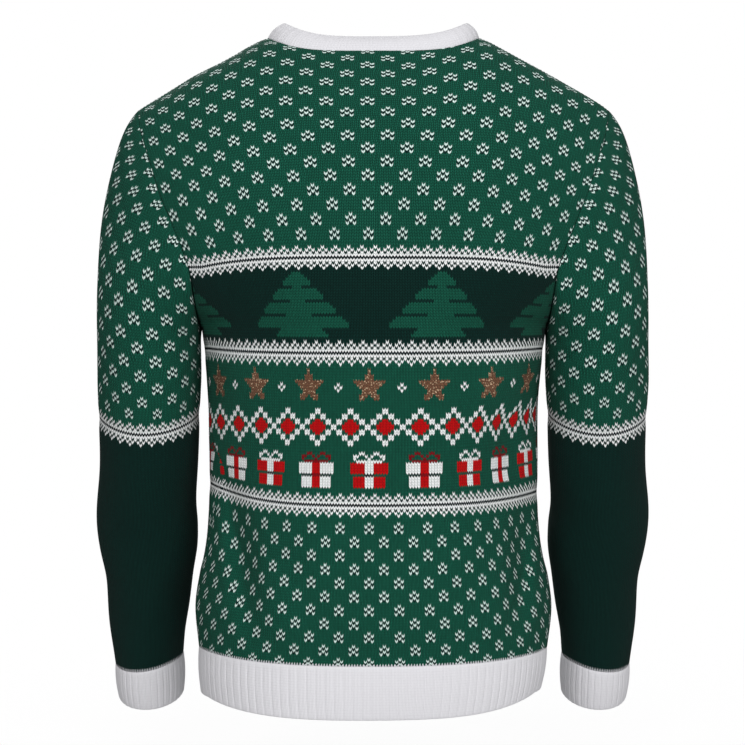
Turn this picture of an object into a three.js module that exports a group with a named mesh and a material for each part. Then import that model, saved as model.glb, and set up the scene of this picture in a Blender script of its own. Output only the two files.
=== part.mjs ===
// Knitted christmas jumper in its worn shape, with nobody in it.
// Millimetres. +Z is up, the front faces -Y, and the wearer's left arm is at +X.
// The origin is the middle of the neck, level with the points where the shoulder seams meet the neckband.
//
// Every piece is a wall of cloth: a grid of points on the outer surface, the same grid moved in by the wall,
// and rims that close the two. Pieces meet at seams with a small gap, and share their rims' direction there.

import * as THREE from 'three';

// Cloth
const WALL = 2.6;
const RIB_WALL = 3.0;
const NECKBAND_WALL = 3.6;
const SEAM_GAP = 0.34;

// Heights of the body, measured from the origin
const HEM_Z = -628;
const ARMPIT_Z = -294;
const ARCH_Z = -190;
const ARMPIT_LEVEL = ARMPIT_Z - HEM_Z;
const ARCH_LEVEL = ARCH_Z - HEM_Z;

// Widths across the shoulders, as distances from the middle
const NECK_X = 109;
const SHOULDER_X = 241;

// Neckline and neckband
const BACK_NECK_DROP = 19;
const FRONT_NECK_DROP = 78;
const BACK_NECK_SQUARENESS = 4;
const FRONT_NECK_SQUARENESS = 2.6;
const NECKBAND_IN = { left: 16, right: 11.5 };
const NECKBAND_UP = 15.4;
const NECKBAND_SWELL = 1.6;

// Hem rib and cuffs
const HEM_RIB_HEIGHT = 52;
const HEM_RIB_SIDE_LOSS = { left: 6, right: 11 };
const HEM_RIB_TAPER = { left: 2, right: 6 };
const RIB_SWELL = 1.4;

// How far from the middle the side rise of the courses has its full size, and how late it sets in
const RISE_X = 170;
const RISE_POWER = 4;

// Grid counts
const NECK_COLUMNS = 6;
const SHOULDER_COLUMNS = 6;
const SIDE_ROWS = 12;
const ARMHOLE_ROWS = 10;
const CAP_ROWS = 7;
const RIB_ROWS = 2;

// How a sleeve leaves the arm and meets the armhole, as shares of the straight distance between them
const CAP_START = 0.36;
const CAP_END = 0.24;
const CAP_LEAN = 0.9;

// Space between sleeve and body at the lowest point of the armhole
const ARMPIT_EASE = 0.6;

// Body sections. level is the height above the hem seam, left and right are half widths, back and front are
// depths, and square is the exponent of the section: 2 is an ellipse.
const BODY = [
  { level: 0, left: 179.5, right: 178.5, back: 113, front: 106, square: 2.15 },
  { level: 40, left: 183, right: 183.2, back: 118, front: 111, square: 2.15 },
  { level: 71, left: 178.4, right: 179.4, back: 118, front: 113, square: 2.1 },
  { level: 90, left: 173.8, right: 174.5, back: 117, front: 114, square: 2.05 },
  { level: 111, left: 170.5, right: 171, back: 116, front: 114, square: 2 },
  { level: 140, left: 168.4, right: 168.8, back: 114, front: 114, square: 2 },
  { level: 193, left: 168.4, right: 168.4, back: 115, front: 114, square: 2 },
  { level: 241, left: 169.4, right: 169, back: 119, front: 115, square: 2 },
  { level: 270, left: 171.2, right: 171, back: 121, front: 116, square: 2.02 },
  { level: 308, left: 174.6, right: 174.5, back: 124, front: 117, square: 2.05 },
  { level: 334, left: 178, right: 178, back: 125, front: 118, square: 2.1 },
  { level: 343, left: 185, right: 185, back: 125.5, front: 118, square: 2.15 },
  { level: 366, left: 203, right: 203, back: 126, front: 118, square: 2.3 },
  { level: 395, left: 226, right: 226, back: 126, front: 117, square: 2.4 },
  { level: 425, left: 247, right: 247, back: 125, front: 115, square: 2.4 },
  { level: 455, left: 259, right: 259, back: 124, front: 114, square: 2.4 },
  { level: 485, left: 262, right: 262, back: 124, front: 114, square: 2.4 },
];

// Line of the shoulders: x is the distance from the middle
const RIDGE = [
  { x: 0, z: 10 },
  { x: 60, z: 7 },
  { x: 109, z: 0 },
  { x: 150, z: -20.5 },
  { x: 200, z: -48 },
  { x: 241, z: -73 },
  { x: 262, z: -88 },
];

// Armhole seams: distance from the middle at each height
const ARMHOLE = [
  { z: -294, back: 178, front: 178 },
  { z: -285, back: 178.5, front: 178 },
  { z: -262, back: 180, front: 177.5 },
  { z: -233, back: 182.5, front: 177 },
  { z: -207, back: 191, front: 180 },
  { z: -184, back: 201, front: 187 },
  { z: -157, back: 214, front: 199 },
  { z: -131, back: 223, front: 211 },
  { z: -104, back: 233.5, front: 226 },
  { z: -86, back: 239, front: 236 },
  { z: -73, back: 241, front: 241 },
];

// How much higher a course of stitches lies at the sides than in the middle
const SIDE_RISE = [
  { level: 0, left: 4, right: 3 },
  { level: 80, left: 9, right: 5 },
  { level: 120, left: 13, right: 6 },
  { level: 160, left: 16, right: 7 },
  { level: 190, left: 8, right: 10 },
  { level: 236, left: 2, right: 10 },
  { level: 307, left: 3, right: 3 },
  { level: 400, left: -9, right: -9 },
  { level: 470, left: -6, right: -6 },
];

// Swing of the side seams towards the back, in degrees round the section
const SEAM_SWING = [
  { level: 0, left: 2, right: 0 },
  { level: 60, left: 4, right: 0 },
  { level: 120, left: 13, right: 0 },
  { level: 160, left: 24, right: 0 },
  { level: 185, left: 26, right: 0 },
  { level: 215, left: 13, right: 0 },
  { level: 250, left: 3, right: 0 },
  { level: 300, left: 0, right: 0 },
];

// Largest folds: soft troughs between two points of a face, where face is 1 for the back and -1 for the front
const FOLDS = [
  { face: 1, lowX: 114, lowLevel: 8, highX: 146, highLevel: 182, width: 16, depth: 13 },
  { face: 1, lowX: -140, lowLevel: 12, highX: -158, highLevel: 158, width: 14, depth: 12 },
  { face: 1, lowX: -141, lowLevel: 170, highX: -128, highLevel: 268, width: 13, depth: 6 },
  { face: 1, lowX: 60, lowLevel: 20, highX: 84, highLevel: 120, width: 18, depth: 3 },
  { face: -1, lowX: 122, lowLevel: 0, highX: 148, highLevel: 150, width: 17, depth: 10 },
  { face: -1, lowX: -118, lowLevel: 14, highX: -150, highLevel: 176, width: 16, depth: 11 },
  { face: -1, lowX: -40, lowLevel: 6, highX: -58, highLevel: 96, width: 20, depth: 3 },
];

// Sleeve sections from the cuff seam up. x is the distance of the middle of the arm from the middle of the body,
// half and depth are half sizes, back is how far the back of the section hangs below level, and out the outer side.
const SLEEVE = [
  { z: -658, y: -118, leftX: 242.6, leftHalf: 36.6, rightX: 240.6, rightHalf: 36.6, depth: 41.5, back: 20, out: 9 },
  { z: -629, y: -108, leftX: 242.4, leftHalf: 39.2, rightX: 240.4, rightHalf: 39, depth: 43.5, back: 19, out: 6 },
  { z: -596, y: -98, leftX: 240.8, leftHalf: 43, rightX: 238.4, rightHalf: 42.8, depth: 45.5, back: 18, out: 3 },
  { z: -562, y: -87, leftX: 239.6, leftHalf: 46.6, rightX: 237, rightHalf: 46.4, depth: 48, back: 18, out: 2 },
  { z: -533, y: -77, leftX: 239.2, leftHalf: 51.2, rightX: 237, rightHalf: 50.8, depth: 51, back: 18, out: 1 },
  { z: -507, y: -68, leftX: 239.3, leftHalf: 52.6, rightX: 237.8, rightHalf: 52, depth: 53, back: 18, out: 0 },
  { z: -480, y: -58, leftX: 239.2, leftHalf: 51.8, rightX: 238.4, rightHalf: 51, depth: 54, back: 17, out: 0 },
  { z: -440, y: -43, leftX: 236, leftHalf: 51.6, rightX: 235, rightHalf: 50.8, depth: 55, back: 15, out: 0 },
  { z: -392, y: -27, leftX: 233.4, leftHalf: 51.8, rightX: 232.4, rightHalf: 50.8, depth: 57, back: 13, out: 0 },
  { z: -350, y: -14, leftX: 232, leftHalf: 53.6, rightX: 231.4, rightHalf: 53.4, depth: 60, back: 9, out: 0 },
  { z: -312, y: -5, leftX: 231.8, leftHalf: 53.2, rightX: 230.8, rightHalf: 52.8, depth: 62, back: 4, out: 0 },
];
const CUFF_END = {
  z: -694, y: -130, leftX: 242, leftHalf: 35.4, rightX: 240, rightHalf: 35.4, depth: 40.5, back: 20, out: 3,
};

const COLOURS = {
  green: 0x18573f,
  ribWhite: 0xe4e3e8,
};
const ROUGHNESS = 0.95;

// Smooth value of one column of a table, between rows in rising order of key
function lookUp(table, key, column, at) {
  const last = table.length - 1;
  if (at <= table[0][key]) return table[0][column];
  if (at >= table[last][key]) return table[last][column];
  const i = table.findIndex((row) => row[key] > at) - 1;
  const slope = (j) => {
    const before = table[Math.max(j - 1, 0)];
    const after = table[Math.min(j + 1, last)];
    return (after[column] - before[column]) / (after[key] - before[key]);
  };
  const width = table[i + 1][key] - table[i][key];
  const f = (at - table[i][key]) / width;
  return (
    table[i][column] * (1 + 2 * f) * (1 - f) ** 2 +
    table[i + 1][column] * (3 - 2 * f) * f ** 2 +
    slope(i) * width * f * (1 - f) ** 2 +
    slope(i + 1) * width * (f - 1) * f ** 2
  );
}

const sideName = (x) => (x < 0 ? 'right' : 'left');
const faceName = (face) => (face > 0 ? 'back' : 'front');
const mix = (a, b, f) => a + (b - a) * f;
const leftShare = (x) => THREE.MathUtils.smoothstep(x, -NECK_X, NECK_X);

// Angle round the section at a distance x from the middle, 0 in the middle of a face and 90 degrees at the side
function angleAt(x, level) {
  const halfWidth = lookUp(BODY, 'level', sideName(x), level);
  const square = lookUp(BODY, 'level', 'square', level);
  return Math.sign(x) * Math.asin(Math.min(1, (Math.abs(x) / halfWidth) ** (square / 2)));
}

// Length of cloth from the start of the shoulder arch to the shoulder line, at a distance x from the middle
function archLength(face, x) {
  const top = BODY[BODY.length - 1];
  const depth = top[faceName(face)] * Math.cos(angleAt(x, top.level));
  const height = lookUp(RIDGE, 'x', 'z', Math.abs(x)) - ARCH_Z;
  return (Math.PI / 2) * Math.sqrt((depth ** 2 + height ** 2) / 2);
}

// Level of the cloth that lies at height z and at a distance x from the middle
function levelAt(face, x, z) {
  if (z <= ARCH_Z) return z - HEM_Z;
  const height = lookUp(RIDGE, 'x', 'z', Math.abs(x)) - ARCH_Z;
  const turn = Math.asin(Math.min(1, (z - ARCH_Z) / height));
  return ARCH_LEVEL + (archLength(face, x) * turn) / (Math.PI / 2);
}

// Depth of all folds at a point of a face
function foldDepth(face, x, level) {
  return FOLDS.filter((fold) => fold.face === face).reduce((sum, fold) => {
    const along = (level - fold.lowLevel) / (fold.highLevel - fold.lowLevel);
    if (along <= 0 || along >= 1) return sum;
    const off = (x - mix(fold.lowX, fold.highX, along)) / fold.width;
    return sum + fold.depth * Math.sin(Math.PI * along) * Math.exp(-(off ** 2));
  }, 0);
}

// Point of the body's outer surface. angle is measured from the middle of the face, and may pass the side.
function bodyPoint(face, angle, level) {
  const side = angle < 0 ? -1 : 1;
  const section = (column) => lookUp(BODY, 'level', column, level);
  const x = side * section(sideName(side)) * Math.abs(Math.sin(angle)) ** (2 / section('square'));
  const overTheSide = Math.cos(angle) < 0;
  const towards = overTheSide ? -face : face;
  const across = Math.abs(Math.cos(angle));
  const fold = foldDepth(towards, x, level) * Math.min(1, 2 * across);
  const depth = section(faceName(towards)) * across - fold;
  const rise = lookUp(SIDE_RISE, 'level', sideName(side), level);
  const riseHere = rise * Math.min(1, (Math.abs(x) / RISE_X) ** RISE_POWER);
  if (level <= ARCH_LEVEL) return new THREE.Vector3(x, towards * depth, HEM_Z + level + riseHere);
  const height = lookUp(RIDGE, 'x', 'z', Math.abs(x)) - ARCH_Z;
  const turn = Math.min(1, (level - ARCH_LEVEL) / archLength(face, x)) * (Math.PI / 2);
  const z = ARCH_Z + height * Math.sin(turn) + riseHere * (1 - Math.sin(turn));
  return new THREE.Vector3(x, towards * depth * Math.cos(turn), z);
}

// Points of an armhole seam at even distances from the armpit to the shoulder, as x and level
function armholeSeam(face) {
  const samples = 200;
  const places = Array.from({ length: samples + 1 }, (_, i) => {
    const z = mix(ARMPIT_Z, ARMHOLE[ARMHOLE.length - 1].z, i / samples);
    const x = lookUp(ARMHOLE, 'z', faceName(face), z);
    return { x, level: levelAt(face, x, z) };
  });
  const points = places.map(({ x, level }) => bodyPoint(face, angleAt(x, level), level));
  const lengths = [0];
  points.slice(1).forEach((point, i) => lengths.push(lengths[i] + point.distanceTo(points[i])));
  return Array.from({ length: ARMHOLE_ROWS + 1 }, (_, row) => {
    const wanted = (lengths[samples] * row) / ARMHOLE_ROWS;
    const i = Math.min(samples - 1, Math.max(0, lengths.findIndex((length) => length >= wanted) - 1));
    const f = (wanted - lengths[i]) / (lengths[i + 1] - lengths[i]);
    return {
      x: mix(places[i].x, places[i + 1].x, f),
      level: mix(places[i].level, places[i + 1].level, f),
    };
  });
}

// Distance of each column from the middle along the top edge: neckline first, then shoulder seam
function topColumns() {
  const neck = Array.from({ length: NECK_COLUMNS }, (_, i) => NECK_X * Math.sin(((i / NECK_COLUMNS) * Math.PI) / 2));
  const shoulder = Array.from({ length: SHOULDER_COLUMNS + 1 }, (_, i) =>
    mix(NECK_X, SHOULDER_X, i / SHOULDER_COLUMNS),
  );
  return [...neck, ...shoulder];
}

// Level of the top edge at a distance x from the middle
function topLevel(face, x) {
  if (x >= NECK_X) return ARCH_LEVEL + archLength(face, x);
  const drop = face > 0 ? BACK_NECK_DROP : FRONT_NECK_DROP;
  const squareness = face > 0 ? BACK_NECK_SQUARENESS : FRONT_NECK_SQUARENESS;
  return levelAt(face, x, -drop * (1 - (x / NECK_X) ** squareness));
}

// Rows of points of a panel, each from the wearer's right to the left
function panelGrid(face) {
  const top = topColumns();
  const count = top.length - 1;
  const seam = armholeSeam(face);
  const tip = seam[ARMHOLE_ROWS];
  const tipAngle = angleAt(tip.x, tip.level);
  const columns = Array.from({ length: 2 * count + 1 }, (_, i) => i - count);
  const row = (level, edgeAngle, share) =>
    columns.map((column) => {
      const k = Math.abs(column);
      const side = column < 0 ? -1 : 1;
      const even = k / count;
      const atTop = angleAt(top[k], tip.level) / tipAngle;
      const angle = side * edgeAngle(side) * mix(even, atTop, share);
      return bodyPoint(face, angle, level(k));
    });
  const lower = Array.from({ length: SIDE_ROWS }, (_, i) => {
    const level = (ARMPIT_LEVEL * i) / SIDE_ROWS;
    const swing = (side) => THREE.MathUtils.degToRad(lookUp(SEAM_SWING, 'level', sideName(side), level));
    return row(() => level, (side) => Math.PI / 2 - face * swing(side), 0);
  });
  const upper = seam.map((place) => {
    const share = (place.level - ARMPIT_LEVEL) / (tip.level - ARMPIT_LEVEL);
    const level = (k) => mix(ARMPIT_LEVEL, topLevel(face, top[k]), share);
    return row(level, () => angleAt(place.x, place.level), share);
  });
  upper[ARMHOLE_ROWS] = columns.map((column) => {
    const x = Math.sign(column) * top[Math.abs(column)];
    const level = topLevel(face, Math.abs(x));
    return bodyPoint(face, angleAt(x, level), level);
  });
  return [...lower, ...upper];
}

// Ring of a sleeve or cuff: column 0 is at the armpit side, and the columns go round by the back
function sleeveRing(side, section, swell = 0) {
  const name = sideName(side);
  const back = THREE.MathUtils.degToRad(section.back);
  const out = THREE.MathUtils.degToRad(section.out);
  return Array.from({ length: 2 * ARMHOLE_ROWS }, (_, i) => {
    const angle = Math.PI * (1 - i / ARMHOLE_ROWS);
    const outward = (section[`${name}Half`] + swell) * Math.cos(angle);
    const backward = (section.depth + swell) * Math.sin(angle);
    return new THREE.Vector3(
      side * (section[`${name}X`] + outward * Math.cos(out)),
      section.y + backward * Math.cos(back),
      section.z - backward * Math.sin(back) - outward * Math.sin(out),
    );
  });
}

// Rows of points of a sleeve: rings up to the armpit, then curves from the last ring to the armhole
function sleeveGrid(side, backPanel, frontPanel) {
  const rings = SLEEVE.map((section) => sleeveRing(side, section));
  const edge = (panel) => panel.slice(SIDE_ROWS).map((row) => (side > 0 ? row[row.length - 1] : row[0]));
  const armhole = [...edge(backPanel), ...edge(frontPanel).reverse().slice(1, -1)].map((point) => point.clone());
  armhole[0].x += side * ARMPIT_EASE;
  const last = rings[rings.length - 1];
  const before = rings[rings.length - 2];
  const tipZ = RIDGE.find((row) => row.x === SHOULDER_X).z;
  const curves = armhole.map((end, i) => {
    const start = last[i];
    const reach = start.distanceTo(end);
    const up = start.clone().sub(before[i]).normalize();
    const height = Math.max(0, (end.z - ARMPIT_Z) / (tipZ - ARMPIT_Z));
    const lean = new THREE.Vector3(-side * CAP_LEAN * height, 0, 1).normalize();
    return new THREE.CubicBezierCurve3(
      start,
      start.clone().addScaledVector(up, CAP_START * reach),
      end.clone().addScaledVector(lean, -CAP_END * reach),
      end,
    );
  });
  const cap = Array.from({ length: CAP_ROWS }, (_, row) =>
    curves.map((curve, i) => (row === CAP_ROWS - 1 ? armhole[i].clone() : curve.getPoint((row + 1) / CAP_ROWS))),
  );
  return [...rings, ...cap];
}

// Rows of points of the rib below a panel, from its lower edge up to the hem seam
function hemRibGrid(hemRow) {
  return Array.from({ length: RIB_ROWS + 1 }, (_, i) => {
    const down = 1 - i / RIB_ROWS;
    const swell = RIB_SWELL * Math.sin(Math.PI * down);
    return hemRow.map((point) => {
      const outward = new THREE.Vector3(point.x, point.y, 0).normalize();
      const sideways = Math.min(1, Math.abs(point.x) / RISE_X) ** RISE_POWER;
      const height = HEM_RIB_HEIGHT - HEM_RIB_SIDE_LOSS[sideName(point.x)] * sideways;
      const taper = mix(HEM_RIB_TAPER.right, HEM_RIB_TAPER.left, leftShare(point.x));
      return point
        .clone()
        .addScaledVector(outward, swell - taper * down)
        .setZ(point.z - height * down);
    });
  });
}

// Rows of points of the neckband, a ring from the neck seam to its upper edge
function neckbandGrid(backPanel, frontPanel) {
  const middle = NECK_COLUMNS + SHOULDER_COLUMNS;
  const stretch = (panel) => panel[panel.length - 1].slice(middle - NECK_COLUMNS, middle + NECK_COLUMNS + 1);
  const seam = [...stretch(backPanel), ...stretch(frontPanel).reverse().slice(1, -1)];
  return Array.from({ length: RIB_ROWS + 1 }, (_, i) => {
    const up = i / RIB_ROWS;
    const swell = NECKBAND_SWELL * Math.sin(Math.PI * up);
    return seam.map((point) => {
      const inward = new THREE.Vector3(-point.x, -point.y, 0).normalize();
      const lean = mix(NECKBAND_IN.right, NECKBAND_IN.left, leftShare(point.x));
      return point
        .clone()
        .addScaledVector(inward, lean * up - swell)
        .setZ(point.z + NECKBAND_UP * up + swell);
    });
  });
}

// Outward directions of a grid, judged outward by a point inside the piece at each height
function gridNormals({ rows, ring, inside }) {
  const count = rows[0].length;
  const normals = rows.map((row, j) =>
    row.map((point, i) => {
      const left = ring ? row[(i + count - 1) % count] : row[Math.max(0, i - 1)];
      const right = ring ? row[(i + 1) % count] : row[Math.min(count - 1, i + 1)];
      const below = rows[Math.max(0, j - 1)][i];
      const above = rows[Math.min(rows.length - 1, j + 1)][i];
      return new THREE.Vector3().crossVectors(right.clone().sub(left), above.clone().sub(below)).normalize();
    }),
  );
  const j = Math.floor(rows.length / 2);
  const i = Math.floor(count / 2);
  const outward = rows[j][i].clone().sub(inside(rows[j]));
  if (normals[j][i].dot(outward) < 0) normals.flat().forEach((normal) => normal.negate());
  return normals;
}

const seamKey = (point) => point.toArray().map((value) => Math.round(value * 1000) || 0).join(' ');

// Gives the points where pieces meet one shared direction, so that their rims lie face to face. Pieces of one
// group count once, and where the groups face each other, as under an arm, the direction is down.
function shareSeamNormals(pieces) {
  const meetings = new Map();
  pieces.forEach((piece) =>
    piece.rows.forEach((row, j) =>
      row.forEach((point, i) => {
        const key = seamKey(point);
        meetings.set(key, [...(meetings.get(key) ?? []), { group: piece.group, normal: piece.normals[j][i] }]);
      }),
    ),
  );
  const leastSum = 0.5;
  const sumOf = (normals) => normals.reduce((total, normal) => total.add(normal), new THREE.Vector3());
  meetings.forEach((members) => {
    if (members.length < 2) return;
    const groups = [...new Set(members.map((member) => member.group))];
    const sum = sumOf(
      groups.map((group) =>
        sumOf(members.filter((member) => member.group === group).map((member) => member.normal)).normalize(),
      ),
    );
    const shared = sum.length() > leastSum ? sum.normalize() : new THREE.Vector3(0, 0, -1);
    members.forEach((member) => member.normal.copy(shared));
  });
}

// Draws the edges that meet another piece back by half the seam gap
function openSeams({ rows, normals, ring, seams }) {
  const count = rows[0].length;
  const wrap = (i) => (ring ? (i + count) % count : Math.min(count - 1, Math.max(0, i)));
  const clamp = (j) => Math.min(rows.length - 1, Math.max(0, j));
  const moves = [];
  const move = (j, i, inner, before, after) => {
    const along = after.clone().sub(before).normalize();
    const inward = inner.clone().sub(rows[j][i]);
    inward.addScaledVector(along, -inward.dot(along));
    inward.addScaledVector(normals[j][i], -inward.dot(normals[j][i]));
    moves.push({ j, i, by: inward.normalize().multiplyScalar(SEAM_GAP / 2) });
  };
  const last = rows.length - 1;
  rows[0].forEach((_, i) => {
    if (seams.bottom) move(0, i, rows[1][i], rows[0][wrap(i - 1)], rows[0][wrap(i + 1)]);
    if (seams.top) move(last, i, rows[last - 1][i], rows[last][wrap(i - 1)], rows[last][wrap(i + 1)]);
  });
  if (seams.sides) {
    rows.forEach((row, j) => {
      move(j, 0, row[1], rows[clamp(j - 1)][0], rows[clamp(j + 1)][0]);
      move(j, count - 1, row[count - 2], rows[clamp(j - 1)][count - 1], rows[clamp(j + 1)][count - 1]);
    });
  }
  return rows.map((row, j) =>
    row.map((point, i) =>
      moves.filter((m) => m.j === j && m.i === i).reduce((moved, m) => moved.add(m.by), point.clone()),
    ),
  );
}

// Closed wall of cloth: outer grid, inner grid and the rims between them
function clothGeometry({ rows, normals, ring, wall }) {
  const count = rows[0].length;
  const outer = rows.flat();
  const inner = outer.map((point, i) => point.clone().addScaledVector(normals.flat()[i], -wall));
  const inside = outer.length;
  const index = [];
  const quad = (a, b, c, d) => index.push(a, b, c, a, c, d);
  const at = (j, i) => j * count + (i % count);
  const columns = ring ? count : count - 1;
  for (let j = 0; j < rows.length - 1; j += 1) {
    for (let i = 0; i < columns; i += 1) {
      quad(at(j, i), at(j, i + 1), at(j + 1, i + 1), at(j + 1, i));
      quad(inside + at(j, i), inside + at(j + 1, i), inside + at(j + 1, i + 1), inside + at(j, i + 1));
    }
  }
  const points = [...outer, ...inner];
  const rim = (a, b) => {
    const shortFromA = points[a].distanceTo(points[inside + b]) < points[b].distanceTo(points[inside + a]);
    if (shortFromA) quad(a, inside + a, inside + b, b);
    else quad(inside + a, inside + b, b, a);
  };
  for (let i = 0; i < columns; i += 1) {
    rim(at(0, i), at(0, i + 1));
    rim(at(rows.length - 1, i + 1), at(rows.length - 1, i));
  }
  if (!ring) {
    for (let j = 0; j < rows.length - 1; j += 1) {
      rim(at(j + 1, 0), at(j, 0));
      rim(at(j, count - 1), at(j + 1, count - 1));
    }
  }
  const corners = index.map((i) => points[i]);
  let volume = 0;
  for (let i = 0; i < corners.length; i += 3) {
    volume += corners[i].dot(new THREE.Vector3().crossVectors(corners[i + 1], corners[i + 2]));
  }
  if (volume < 0) index.reverse();
  const geometry = new THREE.BufferGeometry();
  geometry.setAttribute('position', new THREE.Float32BufferAttribute(points.flatMap((p) => p.toArray()), 3));
  geometry.setIndex(index);
  geometry.computeVertexNormals();
  return geometry;
}

const bodyAxis = (row) => new THREE.Vector3(0, 0, row[0].z);
const ringMiddle = (row) => row.reduce((sum, point) => sum.add(point), new THREE.Vector3()).divideScalar(row.length);
const PANEL_SEAMS = { bottom: true, top: true, sides: true };
const RIB_SEAMS = { bottom: false, top: true, sides: true };
const SLEEVE_SEAMS = { bottom: true, top: true, sides: false };
const CUFF_SEAMS = { bottom: false, top: true, sides: false };
const NECK_SEAMS = { bottom: true, top: false, sides: false };

function makePieces() {
  const back = panelGrid(1);
  const front = panelGrid(-1);
  const panel = { group: 'body', ring: false, wall: WALL, inside: bodyAxis, seams: PANEL_SEAMS, colour: COLOURS.green };
  const rib = { group: 'rib', ring: false, wall: RIB_WALL, inside: bodyAxis, seams: RIB_SEAMS, colour: COLOURS.ribWhite };
  const sleeve = { group: 'sleeve', ring: true, wall: WALL, inside: ringMiddle, seams: SLEEVE_SEAMS, colour: COLOURS.green };
  const cuff = { group: 'cuff', ring: true, wall: RIB_WALL, inside: ringMiddle, seams: CUFF_SEAMS, colour: COLOURS.ribWhite };
  const neck = {
    group: 'neckband', ring: true, wall: NECKBAND_WALL, inside: ringMiddle, seams: NECK_SEAMS, colour: COLOURS.ribWhite,
  };
  const pieces = [
    { ...panel, name: 'back_panel', rows: back },
    { ...panel, name: 'front_panel', rows: front },
    { ...rib, name: 'hem_rib_back', rows: hemRibGrid(back[0]) },
    { ...rib, name: 'hem_rib_front', rows: hemRibGrid(front[0]) },
    { ...neck, name: 'neckband', rows: neckbandGrid(back, front) },
  ];
  [1, -1].forEach((side) => {
    const middle = { ...SLEEVE[0] };
    Object.keys(middle).forEach((key) => {
      middle[key] = mix(SLEEVE[0][key], CUFF_END[key], 0.5);
    });
    const cuffRows = [sleeveRing(side, CUFF_END), sleeveRing(side, middle, RIB_SWELL), sleeveRing(side, SLEEVE[0])];
    pieces.push({ ...sleeve, name: `sleeve_${sideName(side)}`, rows: sleeveGrid(side, back, front) });
    pieces.push({ ...cuff, name: `cuff_${sideName(side)}`, rows: cuffRows });
  });
  return pieces;
}

const jumper = new THREE.Group();
jumper.name = 'christmas_jumper';

const pieces = makePieces();
pieces.forEach((piece) => {
  piece.normals = gridNormals(piece);
});
shareSeamNormals(pieces);
pieces.forEach((piece) => {
  piece.rows = openSeams(piece);
  const material = new THREE.MeshStandardMaterial({ color: piece.colour, roughness: ROUGHNESS, metalness: 0 });
  const mesh = new THREE.Mesh(clothGeometry(piece), material);
  mesh.name = piece.name;
  jumper.add(mesh);
});

export default jumper;
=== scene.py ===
"""Knitted christmas jumper in its worn shape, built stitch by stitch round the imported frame.

Lengths in the tables are millimetres and are turned to metres where a mesh is made. +Z is up, the front
faces -Y, and the wearer's left arm is at +X. A place on the body's cloth is given by its wale, counted from
the middle to the wearer's left, and its course, counted up from the hem seam. A sleeve's wales are counted
outwards from near the middle of its back, and its courses up from the cuff seam.
"""

import logging
import math
from collections.abc import Callable
from dataclasses import dataclass, field
from enum import Enum

import bmesh
import bpy
import numpy as np
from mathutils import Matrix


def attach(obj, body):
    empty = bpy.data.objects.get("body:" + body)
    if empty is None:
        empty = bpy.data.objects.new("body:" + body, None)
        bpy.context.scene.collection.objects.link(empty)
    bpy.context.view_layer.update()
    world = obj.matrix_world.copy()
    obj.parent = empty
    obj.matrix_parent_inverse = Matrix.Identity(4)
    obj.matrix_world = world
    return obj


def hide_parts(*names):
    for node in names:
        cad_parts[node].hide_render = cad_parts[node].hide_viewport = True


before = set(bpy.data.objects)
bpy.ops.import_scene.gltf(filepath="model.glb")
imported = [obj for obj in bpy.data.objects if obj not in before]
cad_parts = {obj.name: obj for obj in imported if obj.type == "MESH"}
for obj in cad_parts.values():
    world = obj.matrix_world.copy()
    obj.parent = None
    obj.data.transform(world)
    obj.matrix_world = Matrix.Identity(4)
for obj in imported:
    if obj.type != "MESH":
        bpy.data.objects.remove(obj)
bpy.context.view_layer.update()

logging.basicConfig(level=logging.INFO, format="%(message)s")
log = logging.getLogger("jumper")

MM = 0.001
BODY_NAME = "root"
PATTERN_SLOT = "green_jacquard_knit"
RIB_SLOT = "white_rib_knit"

STITCH_MAP = "stitches"
BAKE_MAP = "OFBake"
YARN_ATTRIBUTE = "yarn_colour"
LUREX_ATTRIBUTE = "lurex"
# Marks the flower petals, whose stitch edges get a stronger painted shade.
PETAL_ATTRIBUTE = "petal_mask"

OUTER_BAKE_HEIGHT = 0.8
INNER_BAKE_HEIGHT = 0.15
INNER_BAKE_FLOOR = 0.82
RIM_BAKE_LOW = 0.975
RIM_BAKE_HIGH = 0.979
RIM_BAKE_STEP = 0.006

Surface = Callable[[np.ndarray, np.ndarray], np.ndarray]


class Table:
    """Smooth columns of numbers over one rising key."""

    def __init__(self, names: str, rows: list[tuple[float, ...]]) -> None:
        """Keep the rows.

        Args:
            names: the column names, key first, parted by spaces.
            rows: one tuple of numbers for each key.
        """
        values = np.array(rows, float)
        self.keys = values[:, 0]
        self.columns = dict(zip(names.split()[1:], values[:, 1:].T))

    def at(self, column: str, key: np.ndarray) -> np.ndarray:
        """Value of a column: the cubic through two rows with their neighbours' slopes, flat past the ends.

        Args:
            column: name of the column.
            key: where to read it.

        Returns:
            The values, of the shape of key.
        """
        keys, values = self.keys, self.columns[column]
        last = len(keys) - 1
        before = np.maximum(np.arange(last + 1) - 1, 0)
        after = np.minimum(np.arange(last + 1) + 1, last)
        slope = (values[after] - values[before]) / (keys[after] - keys[before])
        key = np.clip(np.asarray(key, float), keys[0], keys[-1])
        i = np.clip(np.searchsorted(keys, key, side="right") - 1, 0, last - 1)
        width = keys[i + 1] - keys[i]
        f = (key - keys[i]) / width
        return (
            values[i] * (1 + 2 * f) * (1 - f) ** 2
            + values[i + 1] * (3 - 2 * f) * f**2
            + slope[i] * width * f * (1 - f) ** 2
            + slope[i + 1] * width * (f - 1) * f**2
        )


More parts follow.
